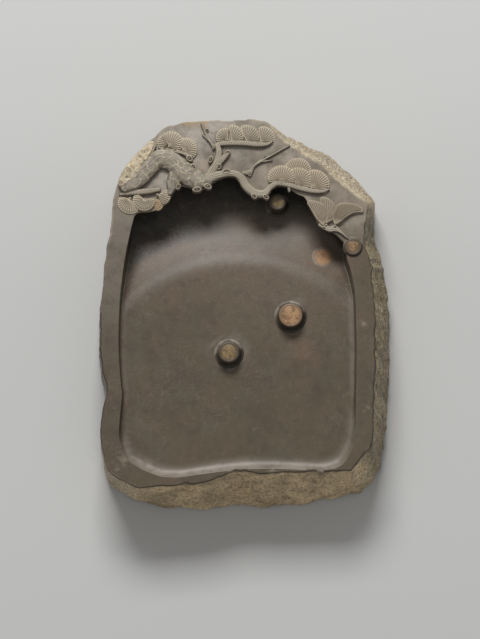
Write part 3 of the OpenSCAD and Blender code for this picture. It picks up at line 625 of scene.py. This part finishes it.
def makePillar(name, p):
    # turned: quarter-circle fillet, flared side, quarter-circle edge, then the seat of the eye, whose crown
    # is a quarter of an ellipse
    foot, top = p["radius"] + p["flare"], p["top"]
    edge = min(eyeFit["edge"], (top - p["foot"]) * 0.6)
    seat, floor = p["radius"] - eyeFit["ring"], top - eyeFit["depth"]
    a = np.radians(np.linspace(0, 90, 9))
    fillet = np.stack([foot + p["fillet"] * (1 - np.sin(a)), p["foot"] + p["fillet"] * (1 - np.cos(a))], -1)
    shoulder = np.stack([p["radius"] - edge * (1 - np.cos(a)), top - edge * (1 - np.sin(a))], -1)
    under = p["foot"] - 0.5
    profile = np.vstack([[(0.5, under), (foot + p["fillet"], under)], fillet, shoulder,
                         [(seat + 0.06, top), (seat, top - 0.04), (seat, floor), (0.5, floor)]])
    rows = turned(profile, p["at"])
    wobble = softNoise(rows, 4, 21) * 0.06
    rows[..., :2] += wobble[..., None] * (rows[..., :2] - p["at"]) / foot
    dx, dy = rows[..., 0] - p["at"][0], rows[..., 1] - p["at"][1]
    radius = np.hypot(dx, dy)
    cap = smoothStep(top - 0.5, top - 0.05, rows[..., 2])
    side = smoothStep(top - 0.1, top - 1.2, rows[..., 2])
    shaded = smoothStep(1, -3, dy - 0.6 * dx)  # the side away from the light
    # noise that breaks the painted highlight at the foot into patches
    dustAndLitPatches = smoothStep(-0.5, 0.3, softNoise(rows, 3, 23))
    masks = {
        "tan": cap * p["tan"],
        "brown": cap * p["brown"] * bump(radius, p["radius"] - 0.7, 0.9),
        # painted shade down the side, darkest away from the light, and a painted highlight on the fillet's
        # lit side
        "line": side * (0.12 + 0.8 * shaded),
        "foot": bump(radius, foot + 0.7, 0.9) * (1 - shaded) * side * dustAndLitPatches,
    }
    makePiece(name, [wrapShell(rows, masks)], pillarSlate, p["node"])

    r = seat - eyeFit["clearance"]
    s = np.linspace(0, 1, 14) * math.pi / 2
    crown = np.stack([r * np.cos(s * 0.97), top + eyeFit["crown"] * np.sin(s)], -1)
    rows = turned(np.vstack([[(0.5, floor), (r, floor)], crown]), p["at"])
    ratio = np.hypot(rows[..., 0] - p["at"][0], rows[..., 1] - p["at"][1]) / r
    masks = {
        "ring": smoothStep(0.55, 1, ratio) * (1.6 - 0.9 * p["tan"]),
        "heart": smoothStep(0.5, 0.15, ratio),
        "olive": np.full(ratio.shape, p["olive"]),
        "tan": np.full(ratio.shape, p["tan"]),
    }
    makePiece(name + "Eye", [wrapShell(rows, masks)], eyeSlate, p["eye"])


for name, values in pillars.items():
    makePillar(name, values)

slopeEye = {
    "at": (41.6, 33.3), "radius": 5.7,
    # share of the radius, and height over the slope in mm
    "profile": [(0.115, -2.2), (1.15, -2.2), (1.15, -0.06), (1.08, 0.0), (1.0, 0.05), (0.9, 0.08),
                (0.75, 0.09), (0.55, 0.1), (0.35, 0.1), (0.15, 0.1), (0.03, 0.1)],
}


def makeSlopeEye():
    # flat turned disc, lifted by floorHeight at each point so that it follows the slope
    share, lift = np.array(slopeEye["profile"]).T
    rows = turned(np.stack([share * slopeEye["radius"], lift], -1), slopeEye["at"])
    rows[..., 2] += floorHeight(rows[..., 0], rows[..., 1])
    away = np.hypot(rows[..., 0] - slopeEye["at"][0], rows[..., 1] - slopeEye["at"][1])
    masks = {"ring": smoothStep(0.6, 0.98, away / slopeEye["radius"])}
    makePiece("slopeEye", [wrapShell(rows, masks)], redEyeSlate, "slope_eye")


makeSlopeEye()


# the pine: needle fans

fans = {
    # mm; the gap is from needle to needle along the edge, and a bent fan is a spray, finer and duller
    "fan": {"gap": 1.35, "ribShare": 1.0, "deep": 0.05, "border": 0.95, "ribLight": 0.65, "light": 0.1},
    "spray": {"gap": 1.0, "ribShare": 0.7, "deep": 0.25, "border": 0.5, "ribLight": 0.35, "light": 0.0},
    "hubHeight": 2.4, "tipHeight": 1.6, "layerDrop": 0.4, "rib": 0.34, "edgeWidth": 0.5, "hubRadius": 0.95,
    "cornerRound": 0.14,
    "litLeft": -30, "litLeftMost": 0.3,  # fans farther left than this x are paler by so much
    "lowest": {"backNeedles": 3},  # layer to start from, counted down from the top one
    # each fan: hub, first and last heading, length at each, extra length between, bow of the first needle,
    # hook of the last, and how rusty it is
    "sets": {
        "upperLeftNeedles": ("upper_left_needles", [
            ((-43.7, 93), -28, 125, 6.2, 8, 2.2, 0, 0, 0), ((-36, 91), -47, 125, 7.6, 6.6, 1, 0, 0, 0),
            ((-43.5, 94.7), 126, 210, 6.8, 6, 0.8, 0, 0, 0)]),
        "lowerLeftNeedles": ("lower_left_needles", [
            ((-56.9, 63.4), 140, 375, 7, 5.6, 0.4, 0, 0, 0), ((-50, 66), -65, 32, 6.4, 7, 0.8, 0, 0, 0),
            ((-65.2, 64), 165, 310, 6, 9, 1, 0, 0, 0), ((-53.6, 62.9), -62, 15, 7, 6.4, 0.8, 0, 0, 0.5)]),
        "topNeedles": ("top_needles", [
            ((-11, 96.7), 85, 200, 7.2, 6, 1, 0, 0, 0), ((-9.4, 96.1), -12, 100, 5.5, 9.8, 1.4, 0, 0, 0),
            ((-1.1, 95.8), -12, 112, 5.8, 10, 1.6, 0, 0, 0), ((6.8, 95.2), -8, 98, 6.9, 9.9, 1.6, 0, 0, 0)]),
        "rightNeedles": ("right_needles", [
            ((18.6, 73), -14, 182, 7.6, 8, 2, 0, 0, 0.12), ((26.6, 71.9), -42, 135, 8.2, 8.6, 2, 0, 0, 0.12),
            ((35.4, 69.9), -26, 126, 8.8, 9.4, 2, 0, 0, 0.12)]),
        "backNeedles": ("back_needles", [((27.7, 77.8), 8, 180, 8, 8, 1.4, 0, 0, 0.12)]),
        "hangingNeedles": ("hanging_needles", [
            ((42, 48), 72, 126, 9, 18.5, 0.5, -10, 24, 0.12),
            ((43.1, 49.1), 54, 104, 10.2, 17, 1, -22, 10, 0.12)]),
        "tipNeedles": ("tip_needles", [((48.1, 48.6), 25, 88, 19.8, 12.4, -0.4, 12, 50, 0.12)]),
    },
}


def fanShell(fan, layer):
    # t turns the heading from first to last and s goes from the hub out: reach = s * length(t), height domes
    # from hub to tip, ribbed by |sin(pi * needles * t)|^1.5, and drops below the ground along the edge
    hub, first, last, startLength, endLength, bulge, startBend, endBend, rust = fan
    look = fans["spray" if startBend else "fan"]
    spread = math.radians(last - first)
    needles = max(5, round((startLength + endLength) / 2 * spread / look["gap"]))
    t = np.linspace(0, 1, needles * 8 + 1)[None, :]
    s = np.concatenate([np.linspace(0.07, 0.9, 24), [0.93, 0.955, 0.975, 0.99, 1.0]])[:, None]
    length = startLength + (endLength - startLength) * t + bulge * np.sin(math.pi * t)
    rib = np.abs(np.sin(math.pi * needles * t)) ** 1.5
    length = length * (1 - 0.012 * (1 - rib)) * (1 - fans["cornerRound"] * np.abs(2 * t - 1) ** 7)
    bend = startBend * (1 - t) * np.sin(math.pi * s) + endBend * t * (1 - s) ** 2
    heading = np.radians(first + (last - first) * t + bend)
    x = hub[0] + s * length * np.cos(heading)
    y = hub[1] + s * length * np.sin(heading)
    toEdge = np.minimum((1 - s) * length, s * length * spread * np.minimum(t, 1 - t))
    rise = np.clip(toEdge / fans["edgeWidth"], 0, 1)
    rise = np.sqrt(1 - (1 - rise) ** 2)
    fade = smoothStep(0.1, 0.35, s) * smoothStep(0.2, 0.8, toEdge)
    border = bump(toEdge, 0.45, 0.3)
    dome = fans["hubHeight"] + (fans["tipHeight"] - fans["hubHeight"]) * s ** 1.6 - fans["layerDrop"] * layer
    ribs = fans["rib"] * look["ribShare"] * (rib - 0.6) * fade
    body = dome - 0.35 * smoothStep(1.8, 0.5, toEdge) + ribs + 0.12 * border
    z = middleLift - 0.5 + (body + 0.5) * rise
    light = fans["litLeftMost"] if hub[0] < fans["litLeft"] else look["light"]
    # deep: dirt and painted shade in the grooves, painted shade down the edges; crest: a painted highlight
    # on the border and ribs, with some wear
    deep = (look["deep"] + 0.38 * (1 - rib)) * fade + smoothStep(0.5, 0.0, rise) * 0.95
    crest = border * look["border"] + smoothStep(0.5, 1, rib) * fade * look["ribLight"] + light
    masks = {"deep": np.clip(deep, 0, 1), "crest": np.clip(crest, 0, 1), "stain": np.full(z.shape, rust)}
    keep = np.ones((len(s) - 1, t.shape[1] - 1), bool)
    return plateShell(x, y, z, carvedFoot, keep, masks)


def hubShell(hub, radius, height):
    # low dome: height * (1 - s^2)^0.5 at s of the radius
    s = np.linspace(0.97, 0.04, 8)
    foot = middleLift - 1
    profile = np.vstack([[(0.3, foot), (radius, foot)],
                         np.stack([radius * s, middleLift + height * np.sqrt(1 - s ** 2)], -1)])
    return wrapShell(turned(profile, hub, 24), {"crest": np.full((len(profile), 1), 0.25)})


for name, (node, group) in fans["sets"].items():
    shells = []
    for layer, fan in enumerate(group, start=fans["lowest"].get(name, 0)):
        shells.append(fanShell(fan, layer))
        shells.append(hubShell(fan[0], fans["hubRadius"], fans["hubHeight"] - fans["layerDrop"] * layer))
    makePiece(name, shells, carvedSlate, node)


# the pine: trunk, burl, boughs and twigs

wood = {
    # lines of points along the middle with half the width there, each line with its height; all in mm
    "pineTrunk": {"node": "pine_trunk", "step": 0.18, "bark": "scales", "lines": [
        ([(-68, 69.5, 2.5), (-63.5, 72.5, 4.4), (-59, 77, 5.5), (-54, 82.5, 5.5), (-48.5, 86.5, 5.2),
          (-43, 85.5, 5.3), (-37.5, 81, 6), (-32, 77, 6), (-26.5, 74.5, 4.6)], 3.5),
        ([(-39, 78, 5), (-41.5, 73, 3.6), (-42.2, 69.4, 2.4), (-43, 67.2, 1.7)], 3.1),
        ([(-40.6, 77.4, 2), (-43.7, 81.4, 2), (-48.5, 82.6, 2), (-53, 81, 2)], 2.9),
        ([(-36, 78, 5), (-30.5, 74, 4.6), (-26, 72.8, 3.4), (-21.5, 73.5, 2.6)], 3.35)]},
    "trunkBurl": {"node": "trunk_burl", "step": 0.18, "bark": "crust", "lines": [
        ([(-53.3, 93.8, 2.6), (-56.1, 89.7, 3.7), (-59.9, 84.5, 4.5), (-63.9, 79.5, 4.6), (-67.6, 74.7, 3.7),
          (-69.4, 71.9, 2.5)], 3.7)]},
    "mainBough": {"node": "main_bough", "step": 0.16, "bark": "grain", "lines": [
        ([(-21.5, 75.8, 3.4), (-15.5, 77.2, 2.5), (-11, 78, 2.1), (-6.5, 77.5, 2.2), (-3.3, 75, 2.6),
          (-1, 71, 2.7), (2.5, 67.8, 2.7), (6, 66.5, 2.5), (9.5, 67, 2.3), (12, 70, 1.9),
          (15, 72, 1.7)], 2.8)]},
    "upperBough": {"node": "upper_bough", "step": 0.16, "bark": "grain", "lines": [
        ([(-20.5, 78.2, 2.9), (-18.3, 81.8, 2.4), (-16.6, 86, 2.1), (-16, 90, 2), (-16.8, 93.5, 1.7)], 2.8),
        ([(-16.5, 83.5, 1.9), (-13.9, 86.3, 1.8), (-11.6, 89, 1.6)], 2.5)]},
    "rightBough": {"node": "right_bough", "step": 0.14, "bark": "hatch", "lines": [
        ([(14.5, 72.3, 1.7), (18.5, 72.3, 1.6), (23.5, 71.2, 1.5), (29, 69.6, 1.6), (35.5, 68.2, 1.5),
          (41, 68, 1.2), (44.5, 69, 0.7)], 2.3), ([(22.6, 71, 1.2), (22.9, 68.3, 0.9)], 1.8)]},
    "topBough": {"node": "top_bough", "step": 0.14, "bark": "hatch", "lines": [
        ([(-18, 94, 1.3), (-15, 94.8, 1.6), (-9, 95.2, 1.7), (-1.5, 95, 1.7), (5.5, 94.3, 1.6),
          (10.5, 94.6, 1.2), (13.5, 96.2, 0.7)], 2.1)]},
    "lowerLeftBough": {"node": "lower_left_bough", "step": 0.14, "bark": "hatch", "lines": [
        ([(-70.5, 66.3, 0.8), (-66, 67, 1.5), (-59.5, 67.6, 1.8), (-54, 68.2, 1.8),
          (-49.5, 69, 1.4)], 2.2)]},
    "upperLeftTwig": {"node": "upper_left_twig", "step": 0.14, "bark": "grain", "lines": [
        ([(-49, 92.6, 0.8), (-45.5, 91.6, 1.1), (-40.5, 90.7, 1.2), (-35.5, 89.3, 1.2),
          (-32, 87.3, 1.3)], 2.3)]},
    "leftTwig": {"node": "left_twig", "step": 0.12, "bark": "grain", "lines": [
        ([(-18.8, 93, 1.1), (-21.3, 97, 1), (-23.5, 101, 0.8), (-25.7, 106, 0.7)], 1.8),
        ([(-20.5, 95.6, 0.9), (-24.9, 100, 0.7)], 1.7)]},
    "bareTwig": {"node": "bare_twig", "step": 0.12, "bark": "grain", "lines": [
        ([(-2.5, 78.5, 1.3), (1, 79, 1.6), (3.4, 82.3, 0.9), (8, 85.4, 0.8), (13.5, 88.7, 0.7),
          (22.8, 93.9, 0.6)], 1.4),
        ([(4, 83.2, 0.7), (9.5, 87.9, 0.4)], 1.0), ([(7.8, 84.8, 0.7), (13.3, 85.6, 0.4)], 1.0)]},
    "tipTwig": {"node": "tip_twig", "step": 0.12, "bark": "grain", "lines": [
        ([(40, 49.2, 1.4), (44.8, 46.9, 1.8), (48.1, 47.2, 1.9), (51.4, 45.2, 1), (55.2, 41.8, 0.6)], 1.4)]},
}


def nearLine(x, y, line):
    # for each point the least of distance to the line less its half-width, with the foot of that distance,
    # the half-width there, the way along the line and the side it lies on
    best = {key: np.full(x.shape, value) for key, value in
            {"gap": 1e9, "fx": 0.0, "fy": 0.0, "w": 1.0, "u": 0.0, "v": 0.0}.items()}
    start = 0.0
    for a, b in zip(line[:-1], line[1:]):
        dx, dy = b[0] - a[0], b[1] - a[1]
        size = math.hypot(dx, dy)
        t = np.clip(((x - a[0]) * dx + (y - a[1]) * dy) / size ** 2, 0, 1)
        fx, fy, w = a[0] + t * dx, a[1] + t * dy, a[2] + t * (b[2] - a[2])
        away = np.hypot(x - fx, y - fy)
        closer = away - w < best["gap"]
        side = np.sign((x - a[0]) * dy - (y - a[1]) * dx)
        own = {"gap": away - w, "fx": fx, "fy": fy, "w": w, "u": start + t * size, "v": side * away}
        best = {key: np.where(closer, own[key], best[key]) for key in best}
        start += size
    return best


bark = {
    # scales: size in mm, squeeze along the wood, width of a ridge over the size, and its height
    "scaleSize": 2.3, "scaleSqueeze": 0.52, "scaleRidge": 0.11, "scaleHeight": 0.2,
    # noise that bends and lifts them: depth in mm, squeeze, size in mm, seed
    "bendAlong": (1.3, 1, 3.2, 31), "bendAcross": (0.9, 1, 2.6, 32), "scaleSwell": (0.12, 1, 4, 37),
    "crustLumps": [(0.8, 1, 1.9, 34), (0.5, 1, 0.9, 38)],
    # ringed pits of the burl: place and size
    "burlEyes": [((-56.3, 90.2), 1.7), ((-59.4, 86.6), 1.3), ((-66.8, 75.2), 1.4)],
    "hatchGap": 1.35, "hatchSlant": 0.4, "hatchHeight": 0.11,  # cuts: mm from one to the next
    "grainGap": 0.95, "grainHeight": 0.14, "grainBend": (0.6, (0.7, 0.7, 1), 3, 35),
}


def barkPattern(kind, x, y, near):
    # height of the bark in mm, how much of a crest and how much of a hollow it is; scales: thin ridges along
    # the borders of cells laid along the wood; crust: lumps with bitten hollows, ringed pits and two ridges
    # along one edge; hatch: slanting cuts; grain: fine wavering lines along the wood
    flat = np.stack([x, y, np.zeros_like(x)], -1)
    if kind == "scales":
        along = near["u"] + roughness(flat, [bark["bendAlong"]])
        across = near["v"] + roughness(flat, [bark["bendAcross"]])
        broken = smoothStep(-0.6, -0.15, softNoise(flat, 2.4, 36))
        border = cellGap(along * bark["scaleSqueeze"], across, bark["scaleSize"], 33)[1]
        ridge = bump(border, 0, bark["scaleRidge"]) * broken
        lift = bark["scaleHeight"] * ridge + roughness(flat, [bark["scaleSwell"]])
        return lift, ridge, 0.2 + 0.3 * smoothStep(0.1, 0.5, softNoise(flat, 2.2, 40))
    if kind == "crust":
        lump = roughness(flat, bark["crustLumps"])
        bite = (smoothStep(0.25, 0.6, softNoise(flat * (1.5, 1, 1), 2.4, 39))
                * smoothStep(0.2, -0.1, softNoise(flat + 0.7, 2.4, 42)))
        inner = smoothStep(0.5, -1.5, near["v"])
        edge = np.maximum(bump(near["gap"], -0.45, 0.22), bump(near["gap"], -1.75, 0.25)) * inner
        groove = bump(near["gap"], -1.1, 0.32) * inner
        rings, pits = 0, 0
        for place, size in bark["burlEyes"]:
            away = np.hypot(x - place[0], y - place[1])
            rings, pits = rings + bump(away, size, 0.35), pits + bump(away, 0, size * 0.7)
        lift = 0.2 * lump - 0.4 * bite + 0.12 * edge - 0.3 * groove + 0.1 * rings - 0.3 * pits
        hollow = np.clip(bite * 0.6 + groove * 0.8 + pits * 0.35, 0, 1)
        return lift, np.clip(lump * 0.4 + edge * 0.9 + rings, 0, 1), hollow
    if kind == "hatch":
        turns = near["u"] / bark["hatchGap"] + near["v"] * bark["hatchSlant"]
        wave = np.sin(2 * math.pi * turns) * 0.5 + 0.5
        return bark["hatchHeight"] * wave, wave ** 2 * 0.6, (1 - wave) ** 2 * 0.35
    turns = near["v"] / bark["grainGap"] + roughness(flat, [bark["grainBend"]])
    wave = np.sin(2 * math.pi * turns) * 0.5 + 0.5
    return bark["grainHeight"] * wave, wave ** 3 * 0.8, (1 - wave) ** 3 * 0.35


def woodShell(lines, step, kind):
    # height map over the lines: each gives height * (1 - (distance / half-width)^4)^0.5, its height at most
    # half-width + 0.5, joined by (sum of tenth powers)^(1/10); squares outside are left off and their edge
    # is drawn onto the outline
    curves = [(smoothLine(points, 6), height) for points, height in lines]
    every = np.vstack([c for c, _ in curves])
    margin = every[:, 2].max() + 2 * step
    x, y = np.meshgrid(np.arange(every[:, 0].min() - margin, every[:, 0].max() + margin, step),
                       np.arange(every[:, 1].min() - margin, every[:, 1].max() + margin, step))
    total, near = np.zeros_like(x), None
    for curve, height in curves:
        own = nearLine(x, y, curve)
        ratio = np.clip((own["gap"] + own["w"]) / own["w"], 0, 1)
        crown = np.minimum(height, 0.5 + own["w"]) * np.sqrt(np.clip(1 - ratio ** 4, 0, 1))
        total += crown ** 10
        if near is None:
            near = own
        closer = own["gap"] < near["gap"]
        near = {key: np.where(closer, own[key], near[key]) for key in near}
    total **= 0.1
    lift, crest, hollow = barkPattern(kind, x, y, near)
    inside = near["gap"] < 0
    shoulder = smoothStep(0, 0.7, -near["gap"])
    z = middleLift + np.where(inside, total + (lift - 0.1) * shoulder, -0.5)
    away = np.maximum(near["gap"] + near["w"], 1e-6)
    pull = np.where(inside, 1, near["w"] / away)
    keep = inside[:-1, :-1] | inside[1:, :-1] | inside[:-1, 1:] | inside[1:, 1:]
    px, py = near["fx"] + (x - near["fx"]) * pull, near["fy"] + (y - near["fy"]) * pull
    # crest: wear with a painted highlight on bark ridges; deep: dirt and painted shade in hollows, painted
    # shade down the sides
    masks = {"crest": crest * shoulder, "deep": np.clip(hollow * shoulder + (1 - shoulder) * 0.95, 0, 1)}
    if kind == "crust":
        clouds = softNoise(np.stack([x, y, np.zeros_like(x)], -1), 4, 41)
        masks["pale"] = (1 - 0.8 * hollow) * shoulder * (0.85 + 0.25 * clouds)
    return plateShell(px, py, z, carvedFoot, keep, masks)


for name, w in wood.items():
    makePiece(name, [woodShell(w["lines"], w["step"], w["bark"])], carvedSlate, w["node"])


# knots on the boughs

knots = {
    # place, long and short radius, heading of the long one, height of the ring above the ground
    "places": [
        (-32.3, 86.1, 2.1, 1.5, -40, 4.35), (-30.2, 81.2, 2.1, 1.5, -60, 4.35),
        (-38.5, 70.4, 1.8, 1.3, 60, 3.6), (-28.1, 68.7, 2.7, 1.5, 5, 3.9), (-22.2, 70.5, 2.4, 1.5, -20, 3.7),
        (-20.6, 85.7, 2.1, 1.3, 70, 3.3), (-11.4, 89.4, 1.9, 1.3, 40, 2.9), (-15.9, 81.6, 1.8, 1.3, 70, 3.3),
        (-12, 78.9, 2.4, 1.4, 10, 3.7), (3.4, 65, 1.9, 1.3, -30, 3.6), (9.9, 64.6, 2, 1.3, -25, 3.5),
        (47.9, 47.3, 1.6, 1.4, 0, 2), (-18.9, 92.8, 1.4, 0.8, 60, 2.3), (-24.2, 99.8, 1.3, 0.8, 130, 1.5),
        (-22.4, 102.4, 1.3, 0.7, 125, 1.4), (1.1, 77.9, 1.6, 1.1, 80, 2), (-45.9, 92.3, 0.9, 0.7, 20, 2.5),
        (-40.2, 91, 0.9, 0.7, 160, 2.5),
    ],
    # share of the radius, mm below the knot's height, and how much of a crest and of a hollow it is there
    "profile": [(1.02, 1.2, 0, 0.8), (0.99, 0.75, 0.3, 0.5), (0.92, 0.45, 0.8, 0), (0.8, 0.3, 1, 0),
                (0.68, 0.36, 0.8, 0), (0.55, 0.75, 0, 0.7), (0.42, 0.95, 0, 1), (0.3, 0.75, 0.2, 0.4),
                (0.15, 0.6, 0.5, 0), (0.04, 0.57, 0.5, 0)],
    "foot": -1.5, "sink": 0.55, "sinkHeading": 115, "sides": 40,
}


def knotShell(x, y, longRadius, shortRadius, heading, height):
    # oval bead round a pit, turned from the profile and sunk on one side by sink * (1 - cos) / 2
    share, below, crest, deep = np.array(knots["profile"]).T
    radius = np.concatenate([[0.05, 1], share])
    lift = np.concatenate([[knots["foot"], knots["foot"]], height - below])
    sides = knots["sides"]
    rows = turned(np.stack([radius, lift], -1), (0, 0), sides)
    a = math.radians(heading)
    u, v = rows[..., 0] * longRadius, rows[..., 1] * shortRadius
    rows[..., 0] = x + u * math.cos(a) - v * math.sin(a)
    rows[..., 1] = y + u * math.sin(a) + v * math.cos(a)
    turn = np.linspace(0, 2 * math.pi, sides, endpoint=False)
    sunk = 0.5 - 0.5 * np.cos(turn - math.radians(knots["sinkHeading"]) + a)
    rows[..., 2] += middleLift - knots["sink"] * sunk * (lift > 0)[:, None]
    crest, deep = (np.concatenate([[0, 0], mask])[:, None] for mask in (crest, deep))
    # crest: a painted highlight on the ring, less on its sunk side; deep: dirt and painted shade in the
    # trough and round the foot
    return wrapShell(rows, {"crest": crest * (1.1 - sunk), "deep": deep})


makePiece("pineKnots", [knotShell(*k) for k in knots["places"]], carvedSlate, None)


# floor, light and camera

studio = {
    # metres, watts and degrees; the floor runs from its middle colour to its far one over the fade
    "floorFar": "#d3d3d1", "floorMiddle": "#cdcdcb", "floorHalf": 3.0, "floorSteps": 12, "floorFade": 0.19,
    "background": "#c6c6c4", "fill": 0.306,
    "keyPower": 82, "keyWide": 1.3, "keyTall": 0.8, "keyDistance": 3, "keyElevation": 38.5, "keyHeading": 98,
    # the point looked at is in mm, the lens too
    "lookAt": (-2.94, -6.35, 36.0), "cameraDistance": 1.6, "cameraTilt": 8.0, "lens": 163.9, "sensor": 36,
}


def makeFloor():
    # flat sheet of matt grey paper under the stone, a little lighter beyond it
    half, steps = studio["floorHalf"], studio["floorSteps"]
    x, y = np.meshgrid(np.linspace(-half, half, steps + 1), np.linspace(-half, half, steps + 1))
    i, j = np.meshgrid(np.arange(steps), np.arange(steps))
    corner = (j * (steps + 1) + i).ravel()
    mesh = bpy.data.meshes.new("floor")
    mesh.from_pydata(np.stack([x, y, np.zeros_like(x)], -1).reshape(-1, 3).tolist(), [],
                     np.stack([corner, corner + 1, corner + steps + 2, corner + steps + 1], -1).tolist())
    material = bpy.data.materials.new("paperFloor")
    material.use_nodes = True
    tree = material.node_tree
    tree.nodes.clear()
    place = addNode(tree, "SeparateXYZ", {0: addNode(tree, "TexCoord").outputs["Object"]})
    share = addNode(tree, "MapRange", {"Value": place.outputs["Y"], "From Min": 0.0,
                                       "From Max": studio["floorFade"]},
                    interpolation_type="SMOOTHSTEP")
    colour = addNode(tree, "Mix", {0: share.outputs["Result"], 6: linearColour(studio["floorMiddle"]),
                                   7: linearColour(studio["floorFar"])}, data_type="RGBA")
    shader = addNode(tree, "BsdfPrincipled", {"Base Color": colour.outputs[2], "Roughness": 0.9,
                                              "Specular IOR Level": 0.0})
    addNode(tree, "OutputMaterial", {"Surface": shader.outputs[0]})
    mesh.materials.append(material)
    floor = bpy.data.objects.new("floor", mesh)
    bpy.context.scene.collection.objects.link(floor)


def aimed(name, data, place, target):
    # lamp or camera at a place, looking at the target
    thing = bpy.data.objects.new(name, data)
    bpy.context.scene.collection.objects.link(thing)
    thing.location = place
    thing.rotation_euler = (Vector(target) - Vector(place)).to_track_quat("-Z", "Y").to_euler()
    return thing


def makeStudio():
    # the key light's way is (cos e cos h, cos e sin h, sin e); the camera leans back by its tilt
    makeFloor()
    target = Vector(studio["lookAt"]) * mm
    key = bpy.data.lights.new("key", "AREA")
    key.shape, key.energy = "RECTANGLE", studio["keyPower"]
    key.size, key.size_y = studio["keyWide"], studio["keyTall"]
    e, h = math.radians(studio["keyElevation"]), math.radians(studio["keyHeading"])
    way = Vector((math.cos(e) * math.cos(h), math.cos(e) * math.sin(h), math.sin(e)))
    aimed("key", key, target + way * studio["keyDistance"], target)

    world = bpy.data.worlds.new("studio")
    bpy.context.scene.world = world
    world.use_nodes = True
    tree = world.node_tree
    tree.nodes.clear()
    path = addNode(tree, "LightPath")
    seen = addNode(tree, "Math", {0: path.outputs["Is Camera Ray"], 1: path.outputs["Is Transmission Ray"]},
                   operation="MAXIMUM")
    fill = addNode(tree, "Background", {"Color": (1, 1, 1, 1), "Strength": studio["fill"]})
    shown = addNode(tree, "Background", {"Color": linearColour(studio["background"]), "Strength": 1.0})
    mixed = addNode(tree, "MixShader", {0: seen.outputs[0], 1: fill.outputs[0], 2: shown.outputs[0]})
    addNode(tree, "OutputWorld", {"Surface": mixed.outputs[0]})

    tilt = math.radians(studio["cameraTilt"])
    camera = bpy.data.cameras.new("camera")
    camera.sensor_fit, camera.sensor_width = "AUTO", studio["sensor"]
    camera.lens = studio["lens"]
    camera.clip_start, camera.clip_end = 0.05, 20
    place = target + Vector((0, -math.sin(tilt), math.cos(tilt))) * studio["cameraDistance"]
    bpy.context.scene.camera = aimed("camera", camera, place, target)
    bpy.context.scene.view_settings.view_transform = "Standard"
    print("studio made")


makeStudio()
